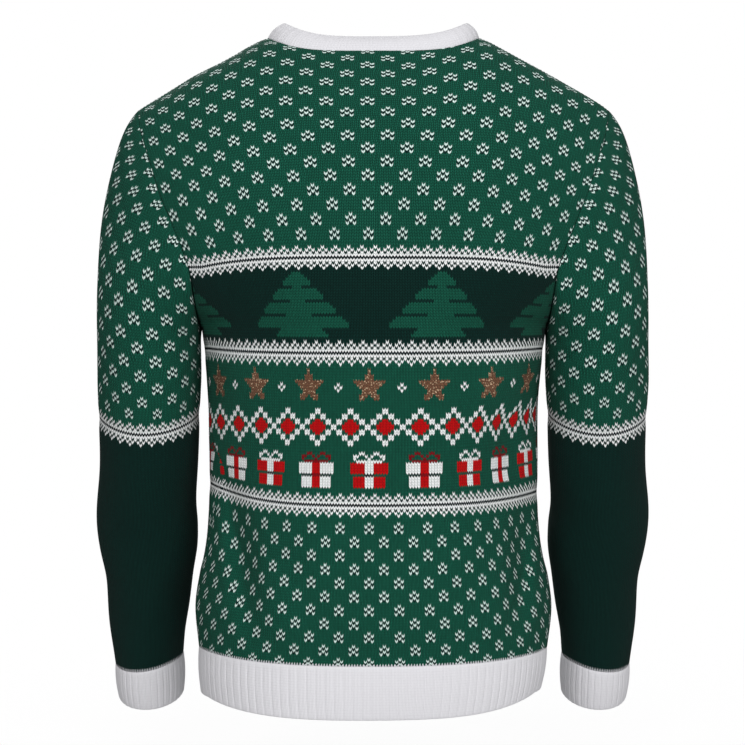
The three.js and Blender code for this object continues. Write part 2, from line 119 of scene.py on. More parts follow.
def bilinear(grid: np.ndarray, row: np.ndarray, column: np.ndarray) -> np.ndarray:
    """Value of a grid between its points: the weighted mean of the four around the place.

    Args:
        grid: values, rows by columns.
        row: place among the rows, as a real number.
        column: place among the columns, as a real number.

    Returns:
        The values, of the shape of row and column together.
    """
    row = np.clip(row, 0, grid.shape[0] - 1.000001)
    column = np.clip(column, 0, grid.shape[1] - 1.000001)
    i, j = row.astype(int), column.astype(int)
    a, b = row - i, column - j
    return (
        grid[i, j] * (1 - a) * (1 - b)
        + grid[i + 1, j] * a * (1 - b)
        + grid[i, j + 1] * (1 - a) * b
        + grid[i + 1, j + 1] * a * b
    )


def unit(vectors: np.ndarray) -> np.ndarray:
    """The vectors at length one."""
    return vectors / np.maximum(np.linalg.norm(vectors, axis=-1, keepdims=True), 1e-12)


def smooth_step(low: float, high: float, at: np.ndarray) -> np.ndarray:
    """Rise from 0 at low to 1 at high, level at both ends."""
    f = np.clip((at - low) / (high - low), 0, 1)
    return f * f * (3 - 2 * f)


class Face(Enum):
    """The two faces of the body, with the sign of their side of Y."""

    BACK = 1
    FRONT = -1


class Side(Enum):
    """The two sides of the body, with the sign of their side of X."""

    LEFT = 1
    RIGHT = -1


@dataclass(frozen=True)
class Fold:
    """A soft trough between two points of a face, in millimetres."""

    face: int
    low_x: float
    low_level: float
    high_x: float
    high_level: float
    width: float
    depth: float


@dataclass
class BodyForm:
    """The worn body, as a surface of the angle round it and the level above the hem seam."""

    hem_z: float = -628
    armpit_z: float = -294
    arch_z: float = -190
    neck_x: float = 109
    shoulder_x: float = 241
    rise_x: float = 170
    rise_power: float = 4
    neck_drop: dict = field(default_factory=lambda: {1: 19.0, -1: 78.0})
    neck_squareness: dict = field(default_factory=lambda: {1: 4.0, -1: 2.6})
    sections: Table = field(default_factory=lambda: Table("level left right back front square", [
        (0, 179.5, 178.5, 113, 106, 2.15), (40, 183, 183.2, 118, 111, 2.15),
        (71, 178.4, 179.4, 118, 113, 2.1), (90, 173.8, 174.5, 117, 114, 2.05), (111, 170.5, 171, 116, 114, 2),
        (140, 168.4, 168.8, 114, 114, 2), (193, 168.4, 168.4, 115, 114, 2), (241, 169.4, 169, 119, 115, 2),
        (270, 171.2, 171, 121, 116, 2.02), (308, 174.6, 174.5, 124, 117, 2.05),
        (334, 178, 178, 125, 118, 2.1), (343, 185, 185, 125.5, 118, 2.15),
        (366, 203, 203, 126, 118, 2.3), (395, 226, 226, 126, 117, 2.4), (425, 247, 247, 125, 115, 2.4),
        (455, 259, 259, 124, 114, 2.4), (485, 262, 262, 124, 114, 2.4),
    ]))
    ridge: Table = field(default_factory=lambda: Table("x z", [
        (0, 10), (60, 7), (109, 0), (150, -20.5), (200, -48), (241, -73), (262, -88),
    ]))
    armhole: Table = field(default_factory=lambda: Table("z back front", [
        (-294, 178, 178), (-285, 178.5, 178), (-262, 180, 177.5), (-233, 182.5, 177), (-207, 191, 180),
        (-184, 201, 187), (-157, 214, 199), (-131, 223, 211), (-104, 233.5, 226), (-86, 239, 236),
        (-73, 241, 241),
    ]))
    side_rise: Table = field(default_factory=lambda: Table("level left right", [
        (0, 4, 3), (80, 9, 5), (120, 13, 6), (160, 16, 7), (190, 8, 10), (236, 2, 10), (307, 3, 3),
        (400, -9, -9), (470, -6, -6),
    ]))
    seam_swing: Table = field(default_factory=lambda: Table("level left right", [
        (0, 2, 0), (60, 4, 0), (120, 13, 0), (160, 24, 0), (185, 26, 0), (215, 13, 0), (250, 3, 0),
        (300, 0, 0),
    ]))
    folds: tuple = (
        Fold(1, 114, 8, 146, 182, 16, 13), Fold(1, -140, 12, -158, 158, 14, 12),
        Fold(1, -141, 170, -128, 268, 13, 6), Fold(1, 60, 20, 84, 120, 18, 3),
        Fold(-1, 122, 0, 148, 150, 17, 10), Fold(-1, -118, 14, -150, 176, 16, 11),
        Fold(-1, -40, 6, -58, 96, 20, 3), Fold(1, 124, 14, 150, 178, 10, 6),
        Fold(1, -148, 20, -160, 150, 9, 3),
    )

    @property
    def armpit_level(self) -> float:
        """Level of the armpit."""
        return self.armpit_z - self.hem_z

    @property
    def arch_level(self) -> float:
        """Level where the cloth starts to bend over the shoulders."""
        return self.arch_z - self.hem_z

    def angle_at(self, x: np.ndarray, level: np.ndarray) -> np.ndarray:
        """Angle round the section at x: the arcsine of its share of the half width, squared off."""
        half = np.where(x < 0, self.sections.at("right", level), self.sections.at("left", level))
        share = np.minimum(1, (np.abs(x) / half) ** (self.sections.at("square", level) / 2))
        return np.sign(x) * np.arcsin(share)

    def arch_length(self, face: int, x: np.ndarray) -> np.ndarray:
        """Cloth from the arch's start to the shoulder line: a quarter of an oval's girth."""
        top = self.sections.keys[-1]
        name = "back" if face > 0 else "front"
        depth = self.sections.columns[name][-1] * np.cos(self.angle_at(x, np.full(np.shape(x), top)))
        height = self.ridge.at("z", np.abs(x)) - self.arch_z
        return (math.pi / 2) * np.sqrt((depth**2 + height**2) / 2)

    def level_at(self, face: int, x: np.ndarray, z: np.ndarray) -> np.ndarray:
        """Level of the cloth at x and z: z itself below the arch, and the arch's own length above."""
        height = self.ridge.at("z", np.abs(x)) - self.arch_z
        turn = np.arcsin(np.clip((z - self.arch_z) / height, 0, 1))
        arched = self.arch_level + self.arch_length(face, x) * turn / (math.pi / 2)
        return np.where(z <= self.arch_z, z - self.hem_z, arched)

    def fold_depth(self, towards: np.ndarray, x: np.ndarray, level: np.ndarray) -> np.ndarray:
        """Depth of the troughs: each is a half sine along its line and a bell across it."""
        total = np.zeros(np.broadcast(x, level).shape)
        for fold in self.folds:
            along = (level - fold.low_level) / (fold.high_level - fold.low_level)
            middle = fold.low_x + (fold.high_x - fold.low_x) * along
            bell = np.exp(-(((x - middle) / fold.width) ** 2))
            inside = (along > 0) & (along < 1) & (towards == fold.face)
            total += np.where(inside, fold.depth * np.sin(math.pi * np.clip(along, 0, 1)) * bell, 0)
        return total

    def point(self, face: int, angle: np.ndarray, level: np.ndarray) -> np.ndarray:
        """Point of the outer surface: a squared ellipse at each level, bent over at the shoulders.

        Args:
            face: 1 for the back, -1 for the front.
            angle: angle from the middle of the face, in radians; it may pass the side.
            level: height above the hem seam, in millimetres of cloth.

        Returns:
            Points in millimetres, with a last axis of three.
        """
        angle, level = np.broadcast_arrays(np.asarray(angle, float), np.asarray(level, float))
        side = np.where(angle < 0, -1.0, 1.0)
        half = np.where(side < 0, self.sections.at("right", level), self.sections.at("left", level))
        x = side * half * np.abs(np.sin(angle)) ** (2 / self.sections.at("square", level))
        towards = np.where(np.cos(angle) < 0, -face, face)
        across = np.abs(np.cos(angle))
        deep = np.where(towards > 0, self.sections.at("back", level), self.sections.at("front", level))
        depth = deep * across - self.fold_depth(towards, x, level) * np.minimum(1, 2 * across)
        rise = np.where(side < 0, self.side_rise.at("right", level), self.side_rise.at("left", level))
        rise = rise * np.minimum(1, (np.abs(x) / self.rise_x) ** self.rise_power)
        height = self.ridge.at("z", np.abs(x)) - self.arch_z
        turn = np.clip((level - self.arch_level) / self.arch_length(face, x), 0, 1) * (math.pi / 2)
        arched = self.arch_z + height * np.sin(turn) + rise * (1 - np.sin(turn))
        z = np.where(level <= self.arch_level, self.hem_z + level + rise, arched)
        return np.stack([x, towards * depth * np.cos(turn), z], axis=-1)

    def top_level(self, face: int, x: np.ndarray) -> np.ndarray:
        """Level of a panel's top edge: the neckline's curve near the middle, then the shoulder seam."""
        share = np.minimum(1, np.abs(x) / self.neck_x) ** self.neck_squareness[face]
        neckline = self.level_at(face, x, -self.neck_drop[face] * (1 - share))
        return np.where(np.abs(x) >= self.neck_x, self.arch_level + self.arch_length(face, x), neckline)

    def armhole_edge(self, face: int) -> tuple[np.ndarray, np.ndarray]:
        """Level and x of the armhole seam from the armpit to the shoulder."""
        z = np.linspace(self.armpit_z, self.armhole.keys[-1], 400)
        x = self.armhole.at("back" if face > 0 else "front", z)
        return self.level_at(face, x, z), x

    def armhole_seam(self, face: int, side: int, share: np.ndarray) -> np.ndarray:
        """Points of the armhole seam at shares of its length from the armpit to the shoulder."""
        level, x = self.armhole_edge(face)
        line = self.point(face, self.angle_at(side * x, level), level)
        length = np.concatenate([[0], np.cumsum(np.linalg.norm(np.diff(line, axis=0), axis=1))])
        wanted = np.asarray(share) * length[-1]
        return np.stack([np.interp(wanted, length, line[:, axis]) for axis in range(3)], axis=-1)


@dataclass
class Yarns:
    """The yarns of the patterned cloth, as sRGB colours, in the order of the charts' numbers."""

    colours: tuple = ("155644", "0A2C27", "07161B", "FBFCFD", "CC050E", "7E5843", "86101A", "DDF1EB")
    pine: int = 0
    forest: int = 1
    ink: int = 2
    white: int = 3
    red: int = 4
    copper: int = 5
    thin_red: int = 6
    petal: int = 7


def linear(colour: str) -> tuple[float, float, float, float]:
    """An sRGB hex colour as linear light with full opacity."""
    parts = [int(colour[i:i + 2], 16) / 255 for i in (0, 2, 4)]
    return (*(p / 12.92 if p <= 0.04045 else ((p + 0.055) / 1.055) ** 2.4 for p in parts), 1.0)


# In FLOWER, o marks the ground stitches between the petals; they are knit in a dark yarn as painted shade.
FLOWER = (".X.", "XoX", "oXo", "XoX")
ZIGZAG = ("..X.", ".X.X", "X.X.", "XXXX", "----", "XXXX", "X.X.", ".X.X", "..X.")
STAR = (
    ".....X.....", ".....X.....", "....XXX....", "....XXX....", "XXXXXXXXXXX", ".XXXXXXXXX.",
    "..XXXXXXX..", "...XXXXX...", "...XXXXX...", "..XXX.XXX..", "..XX...XX..",
)
DIAMOND = (".X.", "X.X", ".X.")
LOZENGE = (
    ".....ww.....", ".....ww.....", "...ww..ww...", "...ww..ww...", ".ww..rr..ww.", ".ww.rrrr.ww.",
    "w..rrrrrr..w", "w..rrrrrr..w", ".ww.rrrr.ww.", ".ww..rr..ww.", "...ww..ww...", "...ww..ww...",
    ".....ww.....", ".....ww.....",
)
BOW = ("..bb...bb..", "bb..b.b..bb", "b....b....b", ".bbbbbbbbb.")
GIFT = (
    "oooooRRRooooo", "oooooRRRooooo", "oooooRRRooooo", "oooooRRRooooo", ".llllLLLllll.",
    ".ooooRRRoooo.", ".ooooRRRoooo.", ".ooooRRRoooo.", ".ooooRRRoooo.",
)
TREE_WIDTHS = (3, 5, 7, 9, 9, 11, 13, 15, 17, 17, 19, 21, 23, 25, 25, 27, 29, 31, 33, 33, 15, 17, 19)
TREE_CUTS = {5: (2, 5), 10: (3, 9), 15: (5, 13)}


class Chart:
    """The yarn of every stitch of a piece: one row a course from the bottom, one column a wale."""

    def __init__(self, courses: int, right_wales: int, left_wales: int, ground: int) -> None:
        """Start a plain piece of one yarn."""
        self.first = -right_wales
        self.course = np.arange(courses)[:, None]
        self.wale = np.arange(-right_wales, left_wales)[None, :]
        self.stitches = np.full((courses, right_wales + left_wales), ground)

    def ground(self, low: int, high: int, yarn: int) -> None:
        """Knit the courses from low up to, but not, high in one yarn."""
        self.stitches[low:high] = yarn

    def flowers(self, low: int, high: int, top: int, wale: int, yarns: tuple[int, int]) -> None:
        """Sprinkle small flowers, ten stitches apart each way with a second set half way between.

        Args:
            low: first course of the field.
            high: course after its last one.
            top: course of any flower's top stitch.
            wale: wale of that flower's middle.
            yarns: the flowers' yarn, and the dark yarn of the ground stitches between their petals, knit dark
                as painted shade.
        """
        inside = (self.course >= low) & (self.course < high)
        # The o stitches take the second, dark yarn: painted shade between the petals.
        for letter, yarn in zip("Xo", yarns):
            repeat = np.zeros((10, 10), bool)
            for shift in (0, 5):
                for down, row in enumerate(FLOWER):
                    for across, mark in enumerate(row):
                        repeat[(down + shift) % 10, (across - 1 + shift) % 10] |= mark == letter
            mask = repeat[(top - self.course) % 10, (self.wale - wale) % 10]
            self.stitches[mask & inside] = yarn

    def border(self, line: int, wale: int, yarns: Yarns, shadow_side: tuple[int, int]) -> None:
        """Nine courses of zigzag round a dark line.

        Args:
            line: course of the dark line.
            wale: wale of any peak.
            yarns: the yarns.
            shadow_side: ground yarns next to the solid courses, above and below the line.
        """
        for down, row in enumerate(ZIGZAG):
            course = line + 4 - down
            marks = np.array(list(row))[(self.wale[0] - wale + 2) % 4]
            if down in (2, 6):
                self.stitches[course] = shadow_side[0] if down == 2 else shadow_side[1]
            self.stitches[course, marks == "X"] = yarns.white
            self.stitches[course, marks == "-"] = yarns.ink

    def stamp(self, top: int, wales: range, motif: tuple[str, ...], yarns: dict[str, int]) -> None:
        """Knit a motif at each of the wales, its middle column on the wale.

        Args:
            top: course of the motif's first row.
            wales: wales of its middle; an even motif's middle is the edge right of it.
            motif: rows of marks from the top.
            yarns: yarn of each mark; other marks leave the ground.
        """
        height, width = self.stitches.shape
        for wale in wales:
            start = wale - len(motif[0]) // 2 - self.first
            for down, row in enumerate(motif):
                for across, mark in enumerate(row):
                    column = start + across
                    if mark in yarns and 0 <= column < width and 0 <= top - down < height:
                        self.stitches[top - down, column] = yarns[mark]


def tree_motif() -> tuple[str, ...]:
    """The fir tree: tiers of five rows that widen downwards, with a cut from both edges between them."""
    widest = max(TREE_WIDTHS)
    rows = []
    for down, width in enumerate(TREE_WIDTHS):
        off = np.abs(np.arange(widest) - widest // 2)
        green = off <= width // 2
        if down in TREE_CUTS:
            low, high = TREE_CUTS[down]
            green &= ~((off >= low) & (off <= high))
        rows.append("".join("X" if g else "." for g in green))
    return tuple(rows)


@dataclass
class BodyPattern:
    """The bands of the body, as courses and wales of the chart."""

    courses: int = 277
    right_wales: int = 124
    left_wales: int = 124
    low_line: int = 60
    middle_line: int = 115
    high_line: int = 149
    yarns: Yarns = field(default_factory=Yarns)

    def chart(self) -> Chart:
        """Flowers, zigzag, gifts, lozenges, stars, zigzag, trees, zigzag and flowers, from the hem up."""
        y = self.yarns
        chart = Chart(self.courses, self.right_wales, self.left_wales, y.pine)
        chart.flowers(0, self.low_line - 6, 53, 1, (y.petal, y.forest))
        chart.ground(self.middle_line + 1, self.high_line, y.forest)
        chart.border(self.low_line, -1, y, (y.forest, y.forest))
        chart.border(self.middle_line, -1, y, (y.forest, y.forest))
        chart.border(self.high_line, -1, y, (y.forest, y.forest))
        for first, box, ribbon, bow, line in (
            (1, y.red, y.white, y.white, {"l": y.pine, "L": y.ink}),
            (20, y.white, y.red, y.thin_red, {"l": y.forest, "L": y.thin_red}),
        ):
            wales = range(first - 38 * 4, self.left_wales + 8, 38)
            chart.stamp(75, wales, GIFT, {"o": box, "R": ribbon, **line})
            chart.stamp(79, wales, BOW, {"b": bow})
        chart.stamp(95, range(-4 - 12 * 10, self.left_wales + 8, 12), LOZENGE, {"w": y.white, "r": y.red})
        chart.stamp(109, range(1 - 22 * 6, self.left_wales + 8, 22), STAR, {"X": y.copper})
        chart.stamp(104, range(12 - 22 * 6, self.left_wales + 8, 22), DIAMOND, {"X": y.white})
        chart.stamp(143, range(24 - 46 * 3, self.left_wales + 20, 46), tree_motif(), {"X": y.pine})
        chart.flowers(self.high_line + 6, self.courses, 159, 1, (y.petal, y.forest))
        return chart


@dataclass(frozen=True)
class Knit:
    """How the stitches stand on the cloth, in stitches and millimetres."""

    lift: float = 0.42
    wale_relief: float = 0.4
    seam_groove: float = 0.5
    seam_groove_wales: float = 0.7
    band_draw: float = 0.9
    band_draw_courses: float = 3.2
    wall: float = 2.6
    seam_wall: float = 0.9
    seam_gap: float = 0.06
    inner_wales: int = 6
    inner_courses: int = 6


def kept_steps(count: int, every: int) -> np.ndarray:
    """The numbers from 0 below count in steps of every, and the last one."""
    return np.unique(np.append(np.arange(0, count, every), count - 1))


@dataclass
class Shell:
    """Corner-by-corner data of a closed shell before it becomes a mesh."""

    points: np.ndarray
    quads: np.ndarray
    triangles: np.ndarray
    quad_stitches: np.ndarray
    triangle_stitches: np.ndarray
    quad_bake: np.ndarray
    triangle_bake: np.ndarray
    quad_yarn: np.ndarray
    triangle_yarn: np.ndarray


def stitch_shell(
    outer: np.ndarray, inner: np.ndarray, rows: np.ndarray, columns: np.ndarray, places: np.ndarray,
    yarn: np.ndarray, flip: bool,
) -> Shell:
    """Close a fine outer grid and a coarse inner grid into one shell with rims.

    A rim is a fan: each outer edge makes a triangle with the inner point before it, and each inner edge one
    with the outer point at its end.

    Args:
        outer: outer points, rows by columns by three.
        inner: inner points at the given rows and columns.
        rows: rows of the outer grid that the inner grid keeps, the first and last among them.
        columns: columns that it keeps, in the same way.
        places: wale and course of each outer point, rows by columns by two.
        yarn: yarn number of each outer quad.
        flip: whether right crossed with up points into the cloth.

    Returns:
        The shell.
    """
    count_r, count_c = outer.shape[:2]
    ids = np.arange(count_r * count_c).reshape(count_r, count_c)
    base = ids.size
    inner_ids = base + np.arange(len(rows) * len(columns)).reshape(len(rows), len(columns))

    def corners(grid: np.ndarray) -> np.ndarray:
        """The four corners of every cell, in the order right, up, left."""
        return np.stack([grid[:-1, :-1], grid[:-1, 1:], grid[1:, 1:], grid[1:, :-1]], axis=2).reshape(-1, 4)

    outside = corners(ids)
    inside = corners(inner_ids)[:, ::-1]
    flat = np.concatenate([places.reshape(-1, 2), places[np.ix_(rows, columns)].reshape(-1, 2)])
    r, c = np.meshgrid(np.arange(count_r) / (count_r - 1), np.arange(count_c) / (count_c - 1), indexing="ij")
    bake_outer = np.stack([c, OUTER_BAKE_HEIGHT * r], axis=-1)
    bake_inner = bake_outer[np.ix_(rows, columns)] * (1, INNER_BAKE_HEIGHT) + (0, INNER_BAKE_FLOOR)
    bake = np.concatenate([bake_outer.reshape(-1, 2), bake_inner.reshape(-1, 2)])
    common = np.median(yarn[np.minimum(rows[:-1], count_r - 2)], axis=1).astype(int)
    common = np.where(common <= Yarns.ink, common, Yarns.pine)
    inner_yarn = np.repeat(common[:, None], len(columns) - 1, axis=1)

    paths = [
        (ids[0], inner_ids[0], columns),
        (ids[:, -1], inner_ids[:, -1], rows),
        (ids[-1, ::-1], inner_ids[-1, ::-1], count_c - 1 - columns[::-1]),
        (ids[::-1, 0], inner_ids[::-1, 0], count_r - 1 - rows[::-1]),
    ]
    triangles, triangle_bake = [], []
    for strip, (edge, within, stops) in enumerate(paths):
        steps = np.arange(len(edge) - 1)
        held = np.searchsorted(stops, steps, side="right") - 1
        fan = np.stack([edge[1:], edge[:-1], within[held]], axis=1)
        close = np.stack([edge[stops[1:]], within[:-1], within[1:]], axis=1)
        triangles += [fan, close]
        low, high = RIM_BAKE_LOW + RIM_BAKE_STEP * strip, RIM_BAKE_HIGH + RIM_BAKE_STEP * strip
        along, held_at = np.arange(len(edge)) / (len(edge) - 1), stops / (len(edge) - 1)
        level = [np.full(len(steps), v) for v in (low, high)]
        triangle_bake.append(np.stack([
            np.stack([along[1:], level[0]], 1), np.stack([along[:-1], level[0]], 1),
            np.stack([held_at[held], level[1]], 1),
        ], axis=1))
        level = [np.full(len(stops) - 1, v) for v in (low, high)]
        triangle_bake.append(np.stack([
            np.stack([held_at[1:], level[0]], 1), np.stack([held_at[:-1], level[1]], 1),
            np.stack([held_at[1:], level[1]], 1),
        ], axis=1))
    triangles = np.concatenate(triangles)
    triangle_bake = np.concatenate(triangle_bake)
    quads = np.concatenate([outside, inside])
    if flip:
        quads, triangles, triangle_bake = quads[:, ::-1], triangles[:, ::-1], triangle_bake[:, ::-1]
    return Shell(
        points=np.concatenate([outer.reshape(-1, 3), inner.reshape(-1, 3)]),
        quads=quads, triangles=triangles, quad_stitches=flat[quads], triangle_stitches=flat[triangles],
        quad_bake=bake[quads], triangle_bake=triangle_bake,
        quad_yarn=np.concatenate([yarn.reshape(-1), inner_yarn.reshape(-1)]),
        triangle_yarn=np.full(len(triangles), yarn[0, 0]),
    )


@dataclass
class ClothPiece:
    """What a finished piece of cloth stands for and how it is cut and held."""

    node: str
    slot: str
    flat: tuple[float, float]
    area: float
    held: str
    rests_on: tuple[str, ...] = ()

    def finish(self, piece: bpy.types.Object, material: bpy.types.Material) -> bpy.types.Object:
        """Dress the piece, put it in the place of its node and log its number of faces."""
        piece.data.materials.append(material)
        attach(piece, BODY_NAME)
        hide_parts(self.node)
        log.info("%s: %d faces", piece.name, len(piece.data.polygons))
        return piece


def mesh_from_shell(name: str, shell: Shell, yarns: Yarns, seed: int) -> bpy.types.Object:
    """Make an object of a shell, welding the points that stitches cut at a seam share.

    Args:
        name: name of the piece.
        shell: its corners.
        yarns: the yarns that the shell's numbers name.
        seed: seed of the small difference in shade between stitches.

    Returns:
        The object, linked to the scene.
    """
    mesh = bpy.data.meshes.new(name)
    mesh.vertices.add(len(shell.points))
    mesh.vertices.foreach_set("co", (shell.points * MM).astype(np.float32).ravel())
    count_q, count_t = len(shell.quads), len(shell.triangles)
    mesh.loops.add(4 * count_q + 3 * count_t)
    mesh.loops.foreach_set("vertex_index", np.concatenate([shell.quads.ravel(), shell.triangles.ravel()]))
    mesh.polygons.add(count_q + count_t)
    starts = np.concatenate([4 * np.arange(count_q), 4 * count_q + 3 * np.arange(count_t)])
    mesh.polygons.foreach_set("loop_start", starts)
    mesh.polygons.foreach_set("use_smooth", np.ones(count_q + count_t, bool))
    for label, quad, triangle in (
        (BAKE_MAP, shell.quad_bake, shell.triangle_bake),
        (STITCH_MAP, shell.quad_stitches, shell.triangle_stitches),
    ):
        layer = mesh.uv_layers.new(name=label)
        corners = np.concatenate([quad.reshape(-1, 2), triangle.reshape(-1, 2)])
        layer.uv.foreach_set("vector", corners.astype(np.float32).ravel())
    numbers = np.concatenate([shell.quad_yarn, shell.triangle_yarn])
    palette = np.array([linear(c) for c in yarns.colours])
    shade = 1 + 0.05 * np.random.default_rng(seed).standard_normal(len(numbers))
    colours = palette[numbers]
    colours[:, :3] *= np.clip(shade, 0.85, 1.15)[:, None]
    mesh.attributes.new(YARN_ATTRIBUTE, "FLOAT_COLOR", "FACE").data.foreach_set(
        "color", np.minimum(colours, 1).astype(np.float32).ravel())
    mesh.attributes.new(LUREX_ATTRIBUTE, "FLOAT", "FACE").data.foreach_set(
        "value", (numbers == yarns.copper).astype(np.float32))
    # Mark the petal stitches for their stronger painted edge shade.
    mesh.attributes.new(PETAL_ATTRIBUTE, "FLOAT", "FACE").data.foreach_set(
        "value", (numbers == yarns.petal).astype(np.float32))
    mesh.update(calc_edges=True)
    return welded(name, mesh)


def welded(name: str, mesh: bpy.types.Mesh) -> bpy.types.Object:
    """An object of the mesh, its double points joined and its stray points gone."""
    work = bmesh.new()
    work.from_mesh(mesh)
    bmesh.ops.remove_doubles(work, verts=work.verts, dist=0.02 * MM)
    loose = [v for v in work.verts if not v.link_faces]
    bmesh.ops.delete(work, geom=loose, context="VERTS")
    work.to_mesh(mesh)
    work.free()
    piece = bpy.data.objects.new(name, mesh)
    bpy.context.scene.collection.objects.link(piece)
    return piece


@dataclass
class WaleWidths:
    """Width of a wale over the body, by level and by wale from the middle."""

    wales: tuple = (-124, -70, -58, -46, -34, -22, -10, 0, 10, 22, 34, 46, 58, 70, 124)
    rows: tuple = (
        (0, 2.7, 2.8, 2.8, 2.85, 2.95, 3.05, 3.1, 3.05, 3.0, 3.0, 3.0, 3.0, 2.8, 2.7, 2.7),
        (90, 2.4, 2.3, 2.3, 2.5, 2.75, 2.93, 2.93, 2.9, 2.88, 2.85, 2.7, 2.45, 2.35, 2.4, 2.5),
        (182, 2.5, 2.2, 1.95, 1.9, 2.2, 2.75, 2.92, 2.88, 2.81, 2.65, 2.5, 2.35, 2.2, 2.3, 2.5),
        (236, 2.5, 1.6, 2.05, 2.05, 2.3, 2.85, 2.9, 2.85, 2.78, 2.62, 2.5, 2.48, 2.55, 2.65, 2.6),
        (276, 2.6, 2.35, 2.45, 2.7, 2.85, 2.95, 3.0, 2.85, 2.7, 2.65, 2.62, 2.6, 2.58, 2.6, 2.6),
        (307, 2.6, 2.35, 2.45, 2.6, 2.8, 2.95, 3.0, 2.9, 2.8, 2.75, 2.7, 2.65, 2.6, 2.6, 2.6),
        (345, 2.6, 2.35, 2.35, 2.5, 2.75, 3.0, 3.15, 3.1, 3.05, 2.95, 2.8, 2.7, 2.65, 2.6, 2.6),
        (400, 2.8, 2.6, 2.7, 2.85, 3.0, 3.1, 3.15, 3.15, 3.15, 3.1, 3.0, 2.85, 2.75, 2.7, 2.8),
        (430, 3.0, 3.0, 3.0, 3.1, 3.2, 3.3, 3.35, 3.35, 3.35, 3.3, 3.2, 3.1, 3.0, 3.0, 3.0),
        (477, 3.4, 3.4, 3.4, 3.4, 3.42, 3.58, 3.7, 3.7, 3.7, 3.66, 3.42, 3.4, 3.5, 3.5, 3.5),
        (497, 3.6, 3.6, 3.5, 3.4, 3.45, 3.7, 3.84, 3.85, 3.84, 3.75, 3.55, 3.6, 3.75, 3.8, 3.8),
        (523, 3.9, 3.9, 3.7, 3.45, 3.58, 3.88, 4.03, 3.98, 4.0, 3.95, 3.72, 3.75, 3.85, 4.0, 4.0),
        (550, 4.3, 4.3, 4.15, 3.75, 3.7, 3.98, 4.16, 4.1, 4.06, 4.02, 3.92, 3.94, 4.0, 4.1, 4.1),
        (577, 4.3, 4.3, 4.2, 4.1, 3.72, 4.1, 4.17, 4.08, 4.02, 4.12, 3.88, 3.95, 4.0, 4.1, 4.1),
        (610, 4.3, 4.3, 4.2, 4.1, 3.85, 4.05, 4.08, 3.95, 3.85, 4.1, 3.95, 3.95, 4.0, 4.1, 4.1),
        (700, 4.3, 4.3, 4.2, 4.1, 3.85, 4.05, 4.08, 3.95, 3.85, 4.1, 3.95, 3.95, 4.0, 4.1, 4.1),
    )

    def lengths(self, levels: np.ndarray, wales: np.ndarray) -> np.ndarray:
        """Distance of each wale from the middle at each level: the sum of the widths on the way.

        Args:
            levels: levels in millimetres.
            wales: evenly spaced wales, zero among them.

        Returns:
            Distances in millimetres, levels by wales.
        """
        keys = [row[0] for row in self.rows]
        table = np.array([row[1:] for row in self.rows])
        by_level = np.stack([np.interp(levels, keys, column) for column in table.T], axis=1)
        widths = np.stack([np.interp(wales, self.wales, row) for row in by_level])
        steps = (widths[:, 1:] + widths[:, :-1]) / 2 * np.diff(wales)
        sums = np.concatenate([np.zeros((len(levels), 1)), np.cumsum(steps, axis=1)], axis=1)
        middle = int(np.argmin(np.abs(wales)))
        return sums - sums[:, middle:middle + 1]


COURSE_LEVELS = Table("course level", [
    (0, 0), (3.5, 7.4), (48.5, 126.6), (56, 146.6), (60.5, 158), (65, 169.4), (67, 175.2), (76, 199.7),
    (80, 210.1), (82, 216.6), (96, 252.9), (99, 261.1), (110, 291.7), (111, 295.1), (115.5, 307.1),
    (120, 319.1), (121, 322.8), (124, 331.7), (144, 386.8), (145, 389.1), (149.5, 400.3), (154, 411.8),
    (156, 418), (160, 429.6), (164.5, 441.8), (184.5, 489.4), (204.5, 534.5), (224.5, 577.5), (277.5, 694),
])


@dataclass(frozen=True)
class YokeSide:
    """How one side of the yoke is pulled: millimetres of rise and sag, and how the sag grows and ends."""

    rise: float
    sag: float
    power: float
    kept: float


@dataclass
class YokeShift:
    """How the yoke's courses ride up beside the neck and sag towards the armholes, in millimetres.

    The rise grows with the square of the courses, and across the wales by a smooth step. The sag grows by a
    smooth step of the courses and a power of the wales. Kept is the share of it left where the rise is full.
    """

    rise_courses: tuple = (183, 238)
    rise_wales: tuple = (5, 42)
    sag_courses: tuple = (150, 225)
    edge_wale: float = 62
    left: YokeSide = YokeSide(rise=32, sag=16.5, power=2, kept=1)
    right: YokeSide = YokeSide(rise=50, sag=28, power=4, kept=0)

    def at(self, wale: np.ndarray, course: np.ndarray) -> np.ndarray:
        """The shift of a stitch."""
        left, right = self.on_side(self.left, wale, course), self.on_side(self.right, wale, course)
        return np.where(wale > 0, left, right)

    def on_side(self, side: YokeSide, wale: np.ndarray, course: np.ndarray) -> np.ndarray:
        """The shift that one side's sizes give."""
        first, last = self.rise_courses
        climb = np.clip((course - first) / (last - first), 0, 1) ** 2
        rise = side.rise * climb * smooth_step(*self.rise_wales, np.abs(wale))
        out = np.minimum(np.abs(wale) / self.edge_wale, 1) ** side.power
        sag = side.sag * out * smooth_step(*self.sag_courses, course) * (1 - (1 - side.kept) * climb)
        return rise - sag


